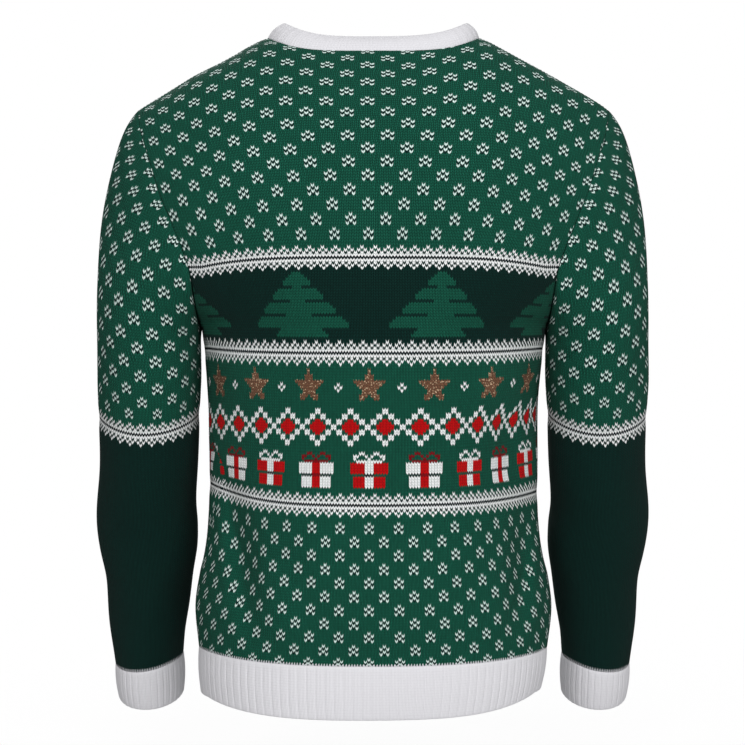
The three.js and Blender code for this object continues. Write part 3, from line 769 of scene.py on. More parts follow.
@dataclass
class Panel:
    """The back or the front of the body, knitted in one piece from the hem seam to the shoulders."""

    face: Face
    body: BodyForm
    pattern: BodyPattern
    knit: Knit = Knit()
    widths: WaleWidths = field(default_factory=WaleWidths)
    yoke: YokeShift = field(default_factory=YokeShift)
    flower_spread: float = 0.3

    def __post_init__(self) -> None:
        """Measure the cloth's rows once, both ways round: length from angle, and angle from length."""
        self.sign = self.face.value
        self.levels = np.linspace(0, 700, 176)
        self.angles = np.linspace(-2.25, 2.25, 451)
        line = self.body.point(self.sign, self.angles[None, :], self.levels[:, None])
        steps = np.linalg.norm(np.diff(line, axis=1), axis=2)
        sums = np.concatenate([np.zeros((len(steps), 1)), np.cumsum(steps, axis=1)], axis=1)
        middle = len(self.angles) // 2
        self.length_table = sums - sums[:, middle:middle + 1]
        self.lengths = np.linspace(-420, 420, 841)
        self.angle_table = np.stack([np.interp(self.lengths, row, self.angles) for row in self.length_table])
        self.wales = np.arange(-self.pattern.right_wales, self.pattern.left_wales + 0.25, 0.5)
        self.wale_table = self.widths.lengths(self.levels, self.wales)
        self.hole_level, self.hole_x = self.body.armhole_edge(self.sign)

    def row_of(self, level: np.ndarray) -> np.ndarray:
        """Place of a level among the measured rows."""
        return level / (self.levels[1] - self.levels[0])

    def edge_angle(self, side: int, level: np.ndarray) -> np.ndarray:
        """Angle of the piece's edge: the side seam up to the armpit, then the armhole."""
        name = "left" if side > 0 else "right"
        swing = np.radians(self.body.seam_swing.at(name, level))
        seam = math.pi / 2 - self.sign * swing
        x = np.interp(level, self.hole_level, self.hole_x)
        hole = np.abs(self.body.angle_at(side * x, level))
        return np.where(level < self.body.armpit_level, seam, hole)

    def place(self, wale: np.ndarray, course: np.ndarray) -> tuple[np.ndarray, np.ndarray, np.ndarray]:
        """Angle and level of a stitch, held inside the piece's side edges.

        Args:
            wale: wales from the middle.
            course: courses from the hem seam.

        Returns:
            Angle, level, and distance in millimetres to the nearer side edge, negative outside it.
        """
        level = COURSE_LEVELS.at("level", course) + self.yoke.at(wale, course)
        row = self.row_of(level)
        column = (wale - self.wales[0]) / 0.5
        length = bilinear(self.wale_table, row, column)
        angle = bilinear(self.angle_table, row, (length - self.lengths[0]))
        step = self.angles[1] - self.angles[0]
        high = self.edge_angle(1, level)
        low = -self.edge_angle(-1, level)
        edge_high = bilinear(self.length_table, row, (high - self.angles[0]) / step) - self.knit.seam_gap
        edge_low = bilinear(self.length_table, row, (low - self.angles[0]) / step) + self.knit.seam_gap
        gap = np.minimum(edge_high - length, length - edge_low)
        held = bilinear(self.angle_table, row, np.clip(length, edge_low, edge_high) - self.lengths[0])
        return np.where(gap < 0, held, angle), level, gap

    def tops(self, wales: np.ndarray, courses: np.ndarray) -> np.ndarray:
        """Course at which each wale meets the top edge, found between the two rows that straddle it."""
        angle, level, _ = self.place(wales[None, :], courses[:, None])
        x = self.body.point(self.sign, angle, level)[..., 0]
        over = level - self.body.top_level(self.sign, x) + self.knit.seam_gap
        first = np.argmax(over >= 0, axis=0)
        columns = np.arange(len(wales))
        after = over[first, columns]
        before = over[np.maximum(first - 1, 0), columns]
        return courses[first] - (courses[1] - courses[0]) * after / np.maximum(after - before, 1e-9)

    def normal(self, angle: np.ndarray, level: np.ndarray) -> np.ndarray:
        """Outward direction: the cross of the steps round and up the surface."""
        around, up = 0.01, 1.0
        right_of, left_of = (self.body.point(self.sign, angle + turn, level) for turn in (around, -around))
        step_a = right_of - left_of
        step_l = self.body.point(self.sign, angle, level + up) - self.body.point(self.sign, angle, level - up)
        return -self.sign * unit(np.cross(step_a, step_l))

    def waves(self, x: np.ndarray, level: np.ndarray) -> np.ndarray:
        """Soft unevenness of worn knitwear: three slow sines crossed."""
        return (
            0.7 * np.sin(x / 21 + level / 47) * np.sin(level / 29 + 0.6)
            + 0.5 * np.sin(x / 13 - level / 31 + 1.1)
        ) * smooth_step(0, 60, level)

    def build(self) -> Shell:
        """Work out the stitches and close them into a shell.

        Returns:
            The shell of the piece.
        """
        knit = self.knit
        courses = np.arange(self.pattern.courses + 1, dtype=float)
        tops = self.tops(self.wales, courses)
        wale, course = np.meshgrid(self.wales, courses)
        top = np.broadcast_to(tops, wale.shape)
        held = np.minimum(course, top)
        flowery = np.where(
            course < self.pattern.low_line - 4, 0.7, smooth_step(self.pattern.high_line + 3, 190, course))
        beat = np.cos((course - self.flower_course(course)) * math.pi / 5)
        spread = wale + self.flower_spread * flowery * beat * np.sin((wale - 1.5) * math.pi / 5)
        _, _, gap = self.place(spread, held)
        edge = np.clip(gap / 3, 0, 1)
        fade = edge * np.clip(top - held, 0, 1) * np.clip(held, 0, 1)
        middle = (np.arange(len(self.wales)) % 2 == 1)[None, :]
        lifted = held + knit.lift * np.where(middle, -1, 1) * fade
        angle, level, gap = self.place(spread, lifted)
        points = self.body.point(self.sign, angle, level)
        normal = self.normal(angle, level)
        inset = np.minimum(np.maximum(gap, 0) / 3, np.minimum(top - held, held + 0.5))
        relief = knit.wale_relief * np.where(middle, 0.4, -1) * fade
        relief = relief - knit.seam_groove * np.exp(-((inset / knit.seam_groove_wales) ** 2))
        for line in (self.pattern.low_line, self.pattern.middle_line, self.pattern.high_line):
            drawn = np.exp(-(((course - line) / knit.band_draw_courses) ** 2))
            relief = relief - knit.band_draw * drawn * edge
        relief = relief + self.waves(points[..., 0], level) * np.clip(inset / 6, 0, 1)
        wall = knit.seam_wall + (knit.wall - knit.seam_wall) * np.clip(inset / 3, 0, 1)
        outer = points + normal * relief[..., None]
        inner_angle, inner_level, _ = self.place(wale, held)
        inner = self.body.point(self.sign, inner_angle, inner_level)
        inner_relief = relief * np.clip(inset / 3, 0, 1)
        inner_relief = inner_relief - knit.seam_groove * np.exp(-((inset / knit.seam_groove_wales) ** 2))
        depth = np.minimum(inner_relief, 0) - wall
        inner = inner + self.normal(inner_angle, inner_level) * depth[..., None]
        rows = kept_steps(len(courses), knit.inner_courses)
        columns = kept_steps(len(self.wales), knit.inner_wales)
        places = np.stack([wale, held], axis=-1)
        chart = self.pattern.chart().stitches
        yarn = np.repeat(chart, 2, axis=1)
        return stitch_shell(
            outer, inner[np.ix_(rows, columns)], rows, columns, places, yarn, flip=self.sign > 0)

    def flower_course(self, course: np.ndarray) -> np.ndarray:
        """Middle course of the nearest set of flowers, for the beat of their spread."""
        return np.where(course < self.pattern.low_line, 51.0, 157.0) + 0.5


def node_of(
    tree: bpy.types.NodeTree, kind: str, settings: dict | None = None, **links: object,
) -> bpy.types.Node:
    """Add a node with its settings and links.

    Args:
        tree: the node tree.
        kind: the node's type name without its prefix.
        settings: attributes of the node to set.
        **links: an input's name, with _ for a space, or in0, in1 and so on, and its value or output socket.

    Returns:
        The node.
    """
    node = tree.nodes.new("ShaderNode" + kind)
    for name, value in (settings or {}).items():
        setattr(node, name, value)
    for name, value in links.items():
        key = int(name[2:]) if name[:2] == "in" and name[2:].isdigit() else name.replace("_", " ")
        socket = node.inputs[key]
        if isinstance(value, bpy.types.NodeSocket):
            tree.links.new(value, socket)
        else:
            socket.default_value = value
    return node


def calc(tree: bpy.types.NodeTree, operation: str, *values: object) -> bpy.types.NodeSocket:
    """Output of one step of arithmetic on numbers or sockets."""
    inputs = {f"in{i}": value for i, value in enumerate(values)}
    return node_of(tree, "Math", {"operation": operation}, **inputs).outputs[0]


@dataclass(frozen=True)
class JacquardKnit:
    """Soft yarn, plain knitted in several colours, with copper lurex in the stars.

    The eye sees rounded legs of yarn in V shapes with dark gaps between them, a faint soft sheen at grazing
    angles, and a glitter of flat metal threads in the stars. The colour carries painted shade in the gaps and
    at the stitch edges, and painted glints on the lurex.
    """

    name: str = "jacquard_knit_soft_yarn"
    roughness: float = 0.86
    gap_shade: float = 0.1
    white_glow: float = 0.7
    # Painted shade at stitch edges on light yarn: its share, a larger share on flower petals, and its dark
    # green colour.
    outline: float = 0.75
    sunk_outline: float = 1.25
    outline_colour: str = "124535"
    joining_colour: str = "CFCED2"
    # Pale colour of the painted glints on the lurex.
    glint_colour: str = "F3D9B4"
    lurex_roughness: float = 0.42
    lurex_metal: float = 0.35
    # Painted glints: the cell value above which a lurex cell glints, and how far it lifts the colour.
    glint_level: float = 0.88
    glint_strength: float = 0.45
    specular: float = 0.07
    sheen: float = 0.015
    bump: float = 0.75
    leg_height: float = 0.55 * MM
    fibre_per_m: float = 900
    slow_per_m: float = 14
    # Cells of the painted glints per metre.
    glint_per_m: float = 950

    def material(self) -> bpy.types.Material:
        """The material, from the stitches' own map and the yarn of each face."""
        material = bpy.data.materials.new(self.name)
        material.use_nodes = True
        tree = material.node_tree
        tree.nodes.clear()
        yarn = node_of(tree, "Attribute", {"attribute_name": YARN_ATTRIBUTE}).outputs["Color"]
        lurex = node_of(tree, "Attribute", {"attribute_name": LUREX_ATTRIBUTE}).outputs["Fac"]
        petal_mask = node_of(tree, "Attribute", {"attribute_name": PETAL_ATTRIBUTE}).outputs["Fac"]
        height = knit_height(tree, 4.0)
        edge = stitch_edge(tree)
        where = node_of(tree, "TexCoord").outputs["Object"]
        fibre = noise(tree, where, self.fibre_per_m)
        slow = noise(tree, where, self.slow_per_m)
        # Painted shade: darker in the gaps between stitch legs and lifted on light yarns by white_glow, then
        # varied by random fibre and slow tone.
        shade = calc(tree, "MULTIPLY_ADD", height, 1 - self.gap_shade, self.gap_shade)
        light = calc(tree, "MULTIPLY", node_of(tree, "RGBToBW", None, Color=yarn).outputs[0], self.white_glow)
        shade = calc(tree, "ADD", shade, calc(tree, "MULTIPLY", calc(tree, "SUBTRACT", 1.0, shade), light))
        shade = calc(tree, "MULTIPLY", shade, calc(tree, "MULTIPLY_ADD", fibre, 0.3, 0.85))
        shade = calc(tree, "MULTIPLY", shade, calc(tree, "MULTIPLY_ADD", slow, 0.16, 0.92))
        # Painted glints: pale spots mixed into the lurex's colour in random cells.
        glint_cells = node_of(tree, "TexVoronoi", None, Vector=where, Scale=self.glint_per_m).outputs["Color"]
        glint_cell = node_of(tree, "SeparateColor", None, Color=glint_cells).outputs[0]
        glint = calc(tree, "MULTIPLY", calc(tree, "GREATER_THAN", glint_cell, self.glint_level), lurex)
        tint = node_of(tree, "VectorMath", {"operation": "SCALE"}, in0=yarn, Scale=shade).outputs[0]
        # Painted shade at the edges of each stitch's V and in the notch between its legs, on light yarns,
        # stronger on flower petals, mixed towards dark green.
        drawn = calc(tree, "MULTIPLY_ADD", petal_mask, self.sunk_outline - self.outline, self.outline)
        outline = calc(tree, "MULTIPLY", calc(tree, "MULTIPLY", edge, light), drawn)
        tint = node_of(
            tree, "Mix", {"data_type": "RGBA"}, in0=outline, in6=tint,
            in7=linear(self.outline_colour)).outputs[2]
        uv = node_of(tree, "UVMap", {"uv_map": STITCH_MAP}).outputs["UV"]
        course = node_of(tree, "SeparateXYZ", None, Vector=uv).outputs[1]
        joined = calc(tree, "LESS_THAN", course, calc(tree, "MULTIPLY_ADD", wale_offset(tree), 0.95, 0.25))
        tint = node_of(
            tree, "Mix", {"data_type": "RGBA"}, in0=joined, in6=tint,
            in7=linear(self.joining_colour)).outputs[2]
        lit = node_of(
            tree, "Mix", {"data_type": "RGBA"}, in0=calc(tree, "MULTIPLY", glint, self.glint_strength),
            in6=tint, in7=linear(self.glint_colour)).outputs[2]
        bump = node_of(
            tree, "Bump", None, Strength=self.bump, Distance=self.leg_height,
            Height=calc(tree, "MULTIPLY_ADD", fibre, 0.25, height)).outputs["Normal"]
        rough = calc(tree, "MULTIPLY_ADD", lurex, self.lurex_roughness - self.roughness, self.roughness)
        shader = node_of(
            tree, "BsdfPrincipled", None, Base_Color=lit, Roughness=rough,
            Metallic=calc(tree, "MULTIPLY", lurex, self.lurex_metal), Normal=bump)
        shader.inputs["Specular IOR Level"].default_value = self.specular
        shader.inputs["Sheen Weight"].default_value = self.sheen
        shader.inputs["Sheen Roughness"].default_value = 0.5
        node_of(tree, "OutputMaterial", None, Surface=shader.outputs[0])
        return material


def noise(tree: bpy.types.NodeTree, where: bpy.types.NodeSocket, per_m: float) -> bpy.types.NodeSocket:
    """Noise with the given number of features to a metre."""
    return node_of(tree, "TexNoise", None, Vector=where, Scale=per_m, Detail=2.0).outputs["Fac"]


def stitch_edge(tree: bpy.types.NodeTree) -> bpy.types.NodeSocket:
    """Nearness to the edge of a stitch's V, also in the notch between its two legs, from 0 inside to 1."""
    uv = node_of(tree, "UVMap", {"uv_map": STITCH_MAP}).outputs["UV"]
    split = node_of(tree, "SeparateXYZ", None, Vector=uv)
    across = wale_offset(tree)
    along = calc(tree, "FRACT", split.outputs[1])
    along_off = calc(tree, "ABSOLUTE", calc(tree, "MULTIPLY_ADD", along, 2.0, -1.0))
    sides = ramp(tree, across, 0.34, 1.0, 0.0, 1.0)
    ends = ramp(tree, along_off, 0.22, 1.0, 0.0, 0.8)
    between_legs, upwards = ramp(tree, across, 0.0, 0.4, 0.9, 0.0), ramp(tree, along, 0.35, 0.95, 0.0, 1.0)
    notch = calc(tree, "MULTIPLY", between_legs, upwards)
    return calc(tree, "MAXIMUM", notch, calc(tree, "MAXIMUM", sides, ends))


def wale_offset(tree: bpy.types.NodeTree) -> bpy.types.NodeSocket:
    """Distance from the middle of a wale, from 0 there to 1 at the next wale."""
    uv = node_of(tree, "UVMap", {"uv_map": STITCH_MAP}).outputs["UV"]
    share = calc(tree, "FRACT", node_of(tree, "SeparateXYZ", None, Vector=uv).outputs[0])
    return calc(tree, "ABSOLUTE", calc(tree, "MULTIPLY_ADD", share, 2.0, -1.0))


def ramp(
    tree: bpy.types.NodeTree, value: object, low: float, high: float, first: float, last: float,
) -> bpy.types.NodeSocket:
    """Smooth change from first to last while the value goes from low to high."""
    return node_of(
        tree, "MapRange", {"interpolation_type": "SMOOTHSTEP"}, Value=value, From_Min=low, From_Max=high,
        To_Min=first, To_Max=last).outputs[0]


def knit_height(tree: bpy.types.NodeTree, along_power: float) -> bpy.types.NodeSocket:
    """Height of the yarn, from 0 in a gap to 1 on top of one of the two legs of a stitch.

    Across a leg it is one less the square of the distance from its middle, and along the wale one less a
    higher power of the distance from the middle of the stitch.

    Args:
        tree: the node tree.
        along_power: the power along the wale; the higher, the thinner the gap between two courses.

    Returns:
        The height.
    """
    uv = node_of(tree, "UVMap", {"uv_map": STITCH_MAP}).outputs["UV"]
    split = node_of(tree, "SeparateXYZ", None, Vector=uv)
    across = calc(tree, "FRACT", calc(tree, "MULTIPLY", split.outputs[0], 2.0))
    along = calc(tree, "FRACT", split.outputs[1])
    rounds = []
    for share, power in ((across, 2.0), (along, along_power)):
        off = calc(tree, "ABSOLUTE", calc(tree, "MULTIPLY_ADD", share, 2.0, -1.0))
        rounds.append(calc(tree, "SUBTRACT", 1.0, calc(tree, "POWER", off, power)))
    return calc(tree, "MULTIPLY", rounds[0], rounds[1])


@dataclass(frozen=True)
class RibKnit:
    """Thick off-white ribbed knit of soft yarn.

    The eye sees broad, low ribs with thin grey valleys, faint columns of stitches on them, and a matt face.
    The columns are painted shade between the stitch legs as well as bumps.
    """

    name: str = "white_rib_knit_soft_yarn"
    colour: str = "D1D0D4"
    roughness: float = 0.9
    specular: float = 0.2
    sheen: float = 0.1
    bump: float = 0.5
    leg_height: float = 0.4 * MM
    fibre_per_m: float = 900

    def material(self) -> bpy.types.Material:
        """The material, from the rib's own map."""
        material = bpy.data.materials.new(self.name)
        material.use_nodes = True
        tree = material.node_tree
        tree.nodes.clear()
        height = knit_height(tree, 12.0)
        where = node_of(tree, "TexCoord").outputs["Object"]
        fibre = noise(tree, where, self.fibre_per_m)
        # Painted shade in the gaps between the stitch legs.
        shade = calc(tree, "MULTIPLY_ADD", height, 0.14, 0.86)
        shade = calc(tree, "MULTIPLY", shade, calc(tree, "MULTIPLY_ADD", fibre, 0.14, 0.93))
        tint = node_of(
            tree, "VectorMath", {"operation": "SCALE"}, in0=linear(self.colour)[:3], Scale=shade).outputs[0]
        bump = node_of(
            tree, "Bump", None, Strength=self.bump, Distance=self.leg_height,
            Height=calc(tree, "MULTIPLY_ADD", fibre, 0.3, height)).outputs["Normal"]
        shader = node_of(tree, "BsdfPrincipled", None, Base_Color=tint, Roughness=self.roughness, Normal=bump)
        shader.inputs["Specular IOR Level"].default_value = self.specular
        shader.inputs["Sheen Weight"].default_value = self.sheen
        node_of(tree, "OutputMaterial", None, Surface=shader.outputs[0])
        return material


@dataclass
class SleeveForm:
    """A worn sleeve: tilted ovals from the cuff seam up to the armpit, then curves to the armhole."""

    side: Side
    body: BodyForm
    sections: Table = field(default_factory=lambda: Table(
        "ring z y leftX leftHalf rightX rightHalf depth back out", [(i, *row) for i, row in enumerate([
            (-658, -118, 242.6, 36.6, 240.6, 36.6, 41.5, 20, 9),
            (-629, -108, 242.4, 39.2, 240.4, 39, 43.5, 19, 6),
            (-596, -98, 240.8, 43, 238.4, 42.8, 45.5, 18, 3), (-562, -87, 239.6, 46.6, 237, 46.4, 48, 18, 2),
            (-533, -77, 239.2, 51.2, 237, 50.8, 51, 18, 1), (-507, -68, 239.3, 52.6, 237.8, 52, 53, 18, 0),
            (-480, -58, 239.2, 51.8, 238.4, 51, 54, 17, 0), (-440, -43, 236, 51.6, 235, 50.8, 55, 15, 0),
            (-392, -27, 233.4, 51.8, 232.4, 50.8, 57, 13, 0), (-350, -14, 232, 53.6, 231.4, 53.4, 60, 9, 0),
            (-312, -5, 231.8, 53.2, 230.8, 52.8, 62, 4, 0),
        ])]))
    cap_start: float = 0.36
    cap_end: float = 0.24
    cap_lean: float = 0.9
    armpit_ease: float = 0.6
    tip_z: float = -73
    ring_height: float = 30.7
    cuff_rise: Table = field(default_factory=lambda: Table("around rise", [
        (0, 1.5), (0.1, 3.5), (0.25, 7), (0.5, 7.5), (0.75, 6.5), (1, 5), (1.3, 3.5), (1.7, 2), (2, 1.5),
    ]))

    def ring(self, ring: np.ndarray, around: np.ndarray) -> np.ndarray:
        """Point of the tube: an oval turned back and out.

        Args:
            ring: place along the tube, from 0 at the cuff seam to 10 at the armpit.
            around: 0 at the armpit side, 1 at the outer side after half a turn by the back, up to 2.

        Returns:
            Points in millimetres.
        """
        ring, around = np.broadcast_arrays(np.asarray(ring, float), np.asarray(around, float))
        at = {name: self.sections.at(name, ring) for name in self.sections.columns}
        name = self.side.name.lower()
        angle = math.pi * (1 - around)
        back, out = np.radians(at["back"]), np.radians(at["out"])
        outward = at[f"{name}Half"] * np.cos(angle)
        backward = at["depth"] * np.sin(angle)
        return np.stack([
            self.side.value * (at[f"{name}X"] + outward * np.cos(out)),
            at["y"] + backward * np.cos(back),
            at["z"] - backward * np.sin(back) - outward * np.sin(out),
        ], axis=-1)

    def cap_handles(self, around: np.ndarray) -> tuple[np.ndarray, ...]:
        """The four points of the curve that takes each column from the last oval to the armhole."""
        last = self.sections.keys[-1]
        start = self.ring(last, around)
        up = unit(start - self.ring(last - 1, around))
        back = self.body.armhole_seam(1, self.side.value, np.clip(around, 0, 1))
        front = self.body.armhole_seam(-1, self.side.value, np.clip(2 - around, 0, 1))
        end = np.where((around <= 1)[..., None], back, front)
        near_armpit = np.clip(1 - 10 * np.minimum(around, 2 - around), 0, 1)
        end[..., 0] += self.side.value * self.armpit_ease * near_armpit
        reach = np.linalg.norm(end - start, axis=-1, keepdims=True)
        height = np.clip((end[..., 2] - self.body.armpit_z) / (self.tip_z - self.body.armpit_z), 0, None)
        lean = unit(np.stack([
            -self.side.value * self.cap_lean * height, np.zeros_like(height), np.ones_like(height)], axis=-1))
        return start, start + up * self.cap_start * reach, end - lean * self.cap_end * reach, end


@dataclass
class Sleeve:
    """A sleeve knitted from the cuff seam up to the armhole."""

    side: Side
    body: BodyForm
    yarns: Yarns = field(default_factory=Yarns)
    knit: Knit = Knit()
    inner_side_wales: int = 46
    outer_side_wales: int = 96
    courses: int = 242
    line: int = 103
    widths: Table = field(default_factory=lambda: Table("course width", [
        (0, 2.7), (60, 2.85), (103, 2.93), (110, 2.96), (122, 3.27), (135, 3.4), (230, 3.45),
    ]))
    heights: Table = field(default_factory=lambda: Table("course up", [
        (0, 0), (60, 163.8), (103, 281.2), (123, 331.4), (143, 383), (163, 438), (183, 494.5), (203, 551),
        (250, 684),
    ]))
    off_middle: Table = field(default_factory=lambda: Table("course off", [
        (0, 14), (103, 14), (113, 13.7), (123, 13.9), (133, 12.4), (143, 8.8), (153, 1.5), (163, -5.4),
        (173, -6.6), (183, -6.8), (230, -6.8),
    ]))
    sway: Table = field(default_factory=lambda: Table("up sway", [
        (0, 0), (300, 0), (340, 0.5), (394, 3.7), (465, 10), (500, 15), (560, 19), (700, 19),
    ]))
    flower_spread: float = 0.42
    sag: float = 4.35

    def __post_init__(self) -> None:
        """Measure the sleeve's rows once."""
        self.form = SleeveForm(self.side, self.body)
        rings = np.linspace(0, 10, 201)
        middle = np.stack([self.form.sections.at("y", rings), self.form.sections.at("z", rings)], axis=1)
        self.ring_lengths = np.concatenate([[0], np.cumsum(np.linalg.norm(np.diff(middle, axis=0), axis=1))])
        self.rings = rings
        self.tube = self.ring_lengths[-1]
        self.around = np.linspace(0, 2, 401)
        curve = self.cap(self.around[None, :], np.linspace(0, 1, 33)[:, None])
        self.cap_lengths = np.linalg.norm(np.diff(curve, axis=0), axis=2).sum(axis=0)
        self.up = np.linspace(0, self.tube + self.cap_lengths.max(), 221)
        line = self.point(self.around[None, :], self.up[:, None])
        steps = np.linalg.norm(np.diff(line, axis=1), axis=2)
        sums = np.concatenate([np.zeros((len(steps), 1)), np.cumsum(steps, axis=1)], axis=1)
        half_way = len(self.around) // 2
        self.length_table = sums - sums[:, half_way:half_way + 1]
        self.lengths = np.linspace(-220, 220, 441)
        tiny = 1e-6 * np.arange(len(self.around))
        self.around_table = np.stack([
            np.interp(self.lengths, row + tiny, self.around) for row in self.length_table])

    def cap(self, around: np.ndarray, share: np.ndarray) -> np.ndarray:
        """Point of the cap: a cubic curve from the last oval to the armhole, at a share of its way."""
        around, share = np.broadcast_arrays(np.asarray(around, float), np.asarray(share, float))
        a, b, c, d = self.form.cap_handles(around)
        t = share[..., None]
        return a * (1 - t) ** 3 + 3 * b * t * (1 - t) ** 2 + 3 * c * t**2 * (1 - t) + d * t**3

    def point(self, around: np.ndarray, up: np.ndarray) -> np.ndarray:
        """Point of the sleeve at a place round it and a length of cloth above the cuff seam."""
        around, up = np.broadcast_arrays(np.asarray(around, float), np.asarray(up, float))
        ring = np.interp(up, self.ring_lengths, self.rings)
        cap_length = np.interp(around, self.around, self.cap_lengths)
        share = np.clip((up - self.tube) / cap_length, 0, 1)
        return np.where((up <= self.tube)[..., None], self.form.ring(ring, around), self.cap(around, share))

    def edges(self, up: np.ndarray) -> tuple[np.ndarray, np.ndarray]:
        """Where the sleeve ends at each length: the underarm seam, then the two sides of the armhole."""
        half = self.around <= 1
        over = up - self.tube
        low = np.interp(over, self.cap_lengths[half], self.around[half])
        other = self.around >= 1
        high = np.interp(over, self.cap_lengths[other][::-1], self.around[other][::-1])
        return np.where(over > self.cap_lengths[0], low, 0), np.where(over > self.cap_lengths[-1], high, 2)

    def bend(self, around: np.ndarray, up: np.ndarray) -> np.ndarray:
        """How far the courses bend up.

        The cuff's rise fades upwards, the border dips at its back and front, and above it the outer side is
        lifted.
        """
        sag = self.sag * (0.17 - np.cos(2 * math.pi * (around - 0.5)))
        rise = self.form.cuff_rise.at("rise", around)
        at_border = smooth_step(0, self.tube * 0.5, up) * (1 - smooth_step(self.tube, self.tube * 1.3, up))
        outer = self.sway.at("sway", up) * np.sin(math.pi * (around - 0.5))
        return rise * (1 - smooth_step(0, 160, up)) + sag * at_border + outer

    def place(self, wale: np.ndarray, course: np.ndarray) -> tuple[np.ndarray, np.ndarray, np.ndarray]:
        """Place round the sleeve and length up it of a stitch, held inside the piece's edges.

        Args:
            wale: wales from a line of flowers near the middle of the back, positive to the outer side.
            course: courses from the cuff seam.

        Returns:
            The place, the length, and the distance in millimetres to the nearer edge.
        """
        level = self.heights.at("up", course)
        from_middle = (wale - 0.5) * self.widths.at("width", course) - self.off_middle.at("off", course)
        step = self.around[1]
        up = level
        # The second round reads the edges and lengths at the bent place that the first round found.
        for _ in range(2):
            row = np.clip(up, 0, self.up[-1]) / (self.up[1] - self.up[0])
            low, high = self.edges(up)
            length = from_middle + bilinear(self.length_table, row, np.full(np.shape(row), 0.5 / step))
            edge_low = bilinear(self.length_table, row, low / step) + self.knit.seam_gap
            edge_high = bilinear(self.length_table, row, high / step) - self.knit.seam_gap
            middle = (edge_low + edge_high) / 2
            low_held = np.minimum(edge_low, middle)
            high_held = np.maximum(edge_high, middle)
            held = bilinear(self.around_table, row, np.clip(length, low_held, high_held) - self.lengths[0])
            bent = level + self.bend(held, level)
            place, up = up, bent
        return held, place, np.minimum(edge_high - length, length - edge_low)

    def normal(self, around: np.ndarray, up: np.ndarray) -> np.ndarray:
        """Outward direction: the cross of the steps round and up, signed by the side."""
        further, nearer = (np.clip(around + turn, 0, 2) for turn in (0.01, -0.01))
        step_a = self.point(further, up) - self.point(nearer, up)
        step_u = self.point(around, up + 0.5) - self.point(around, up - 0.5)
        return -self.side.value * unit(np.cross(step_a, step_u))

    def chart(self) -> Chart:
        """Dark green from the cuff, a zigzag border, and flowers on mid green above."""
        y = self.yarns
        chart = Chart(self.courses, self.inner_side_wales, self.outer_side_wales, y.pine)
        chart.ground(0, self.line, y.forest)
        chart.flowers(self.line + 6, self.courses, self.line + 10, 0, (y.petal, y.forest))
        chart.border(self.line, 2, y, (y.forest, y.forest))
        return chart

    def build(self) -> Shell:
        """Work out the stitches and close them into a shell.

        Returns:
            The shell of the sleeve.
        """
        knit = self.knit
        wales = np.arange(-self.inner_side_wales, self.outer_side_wales + 0.25, 0.5)
        courses = np.arange(self.courses + 1, dtype=float)
        wale, course = np.meshgrid(wales, courses)
        flowery = smooth_step(self.line + 5, self.line + 25, course)
        beat = np.cos((course - self.line - 8) * math.pi / 5)
        spread = wale + self.flower_spread * flowery * beat * np.sin((wale - 0.5) * math.pi / 5)
        last = np.interp(self.up[-1] - 0.5, self.heights.at("up", courses), courses)
        held = np.minimum(course, last)
        _, _, gap = self.place(spread, held)
        edge = np.clip(gap / 3, 0, 1)
        fade = edge * np.clip(held, 0, 1) * np.clip(last - held, 0, 1)
        middle = (np.arange(len(wales)) % 2 == 1)[None, :]
        around, up, gap = self.place(spread, held + knit.lift * np.where(middle, -1, 1) * fade)
        points = self.point(around, up)
        normal = self.normal(around, up)
        inset = np.minimum(np.maximum(gap, 0) / 3, held + 0.5)
        groove = knit.seam_groove * np.exp(-((inset / knit.seam_groove_wales) ** 2))
        relief = knit.wale_relief * np.where(middle, 0.4, -1) * fade - groove
        relief = relief - knit.band_draw * np.exp(-(((course - self.line) / knit.band_draw_courses) ** 2))
        relief = relief + self.waves(around, up) * np.clip(inset / 6, 0, 1)
        outer = points + normal * relief[..., None]
        wall = knit.seam_wall + (knit.wall - knit.seam_wall) * np.clip(inset / 3, 0, 1)
        inner = points - normal * (wall + groove)[..., None]
        rows = kept_steps(len(courses), knit.inner_courses)
        columns = kept_steps(len(wales), knit.inner_wales)
        yarn = np.repeat(self.chart().stitches, 2, axis=1)
        return stitch_shell(
            outer, inner[np.ix_(rows, columns)], rows, columns, np.stack([wale, held], axis=-1), yarn,
            flip=self.side.value > 0)

    def waves(self, around: np.ndarray, up: np.ndarray) -> np.ndarray:
        """Soft unevenness of the sleeve: slow sines round and along it."""
        turn = around * math.pi
        return (
            0.9 * np.sin(2 * turn + up / 37) * np.sin(up / 33 + 0.4)
            + 0.6 * np.sin(3 * turn - up / 21 + 0.9)
        ) * smooth_step(0, 60, up)


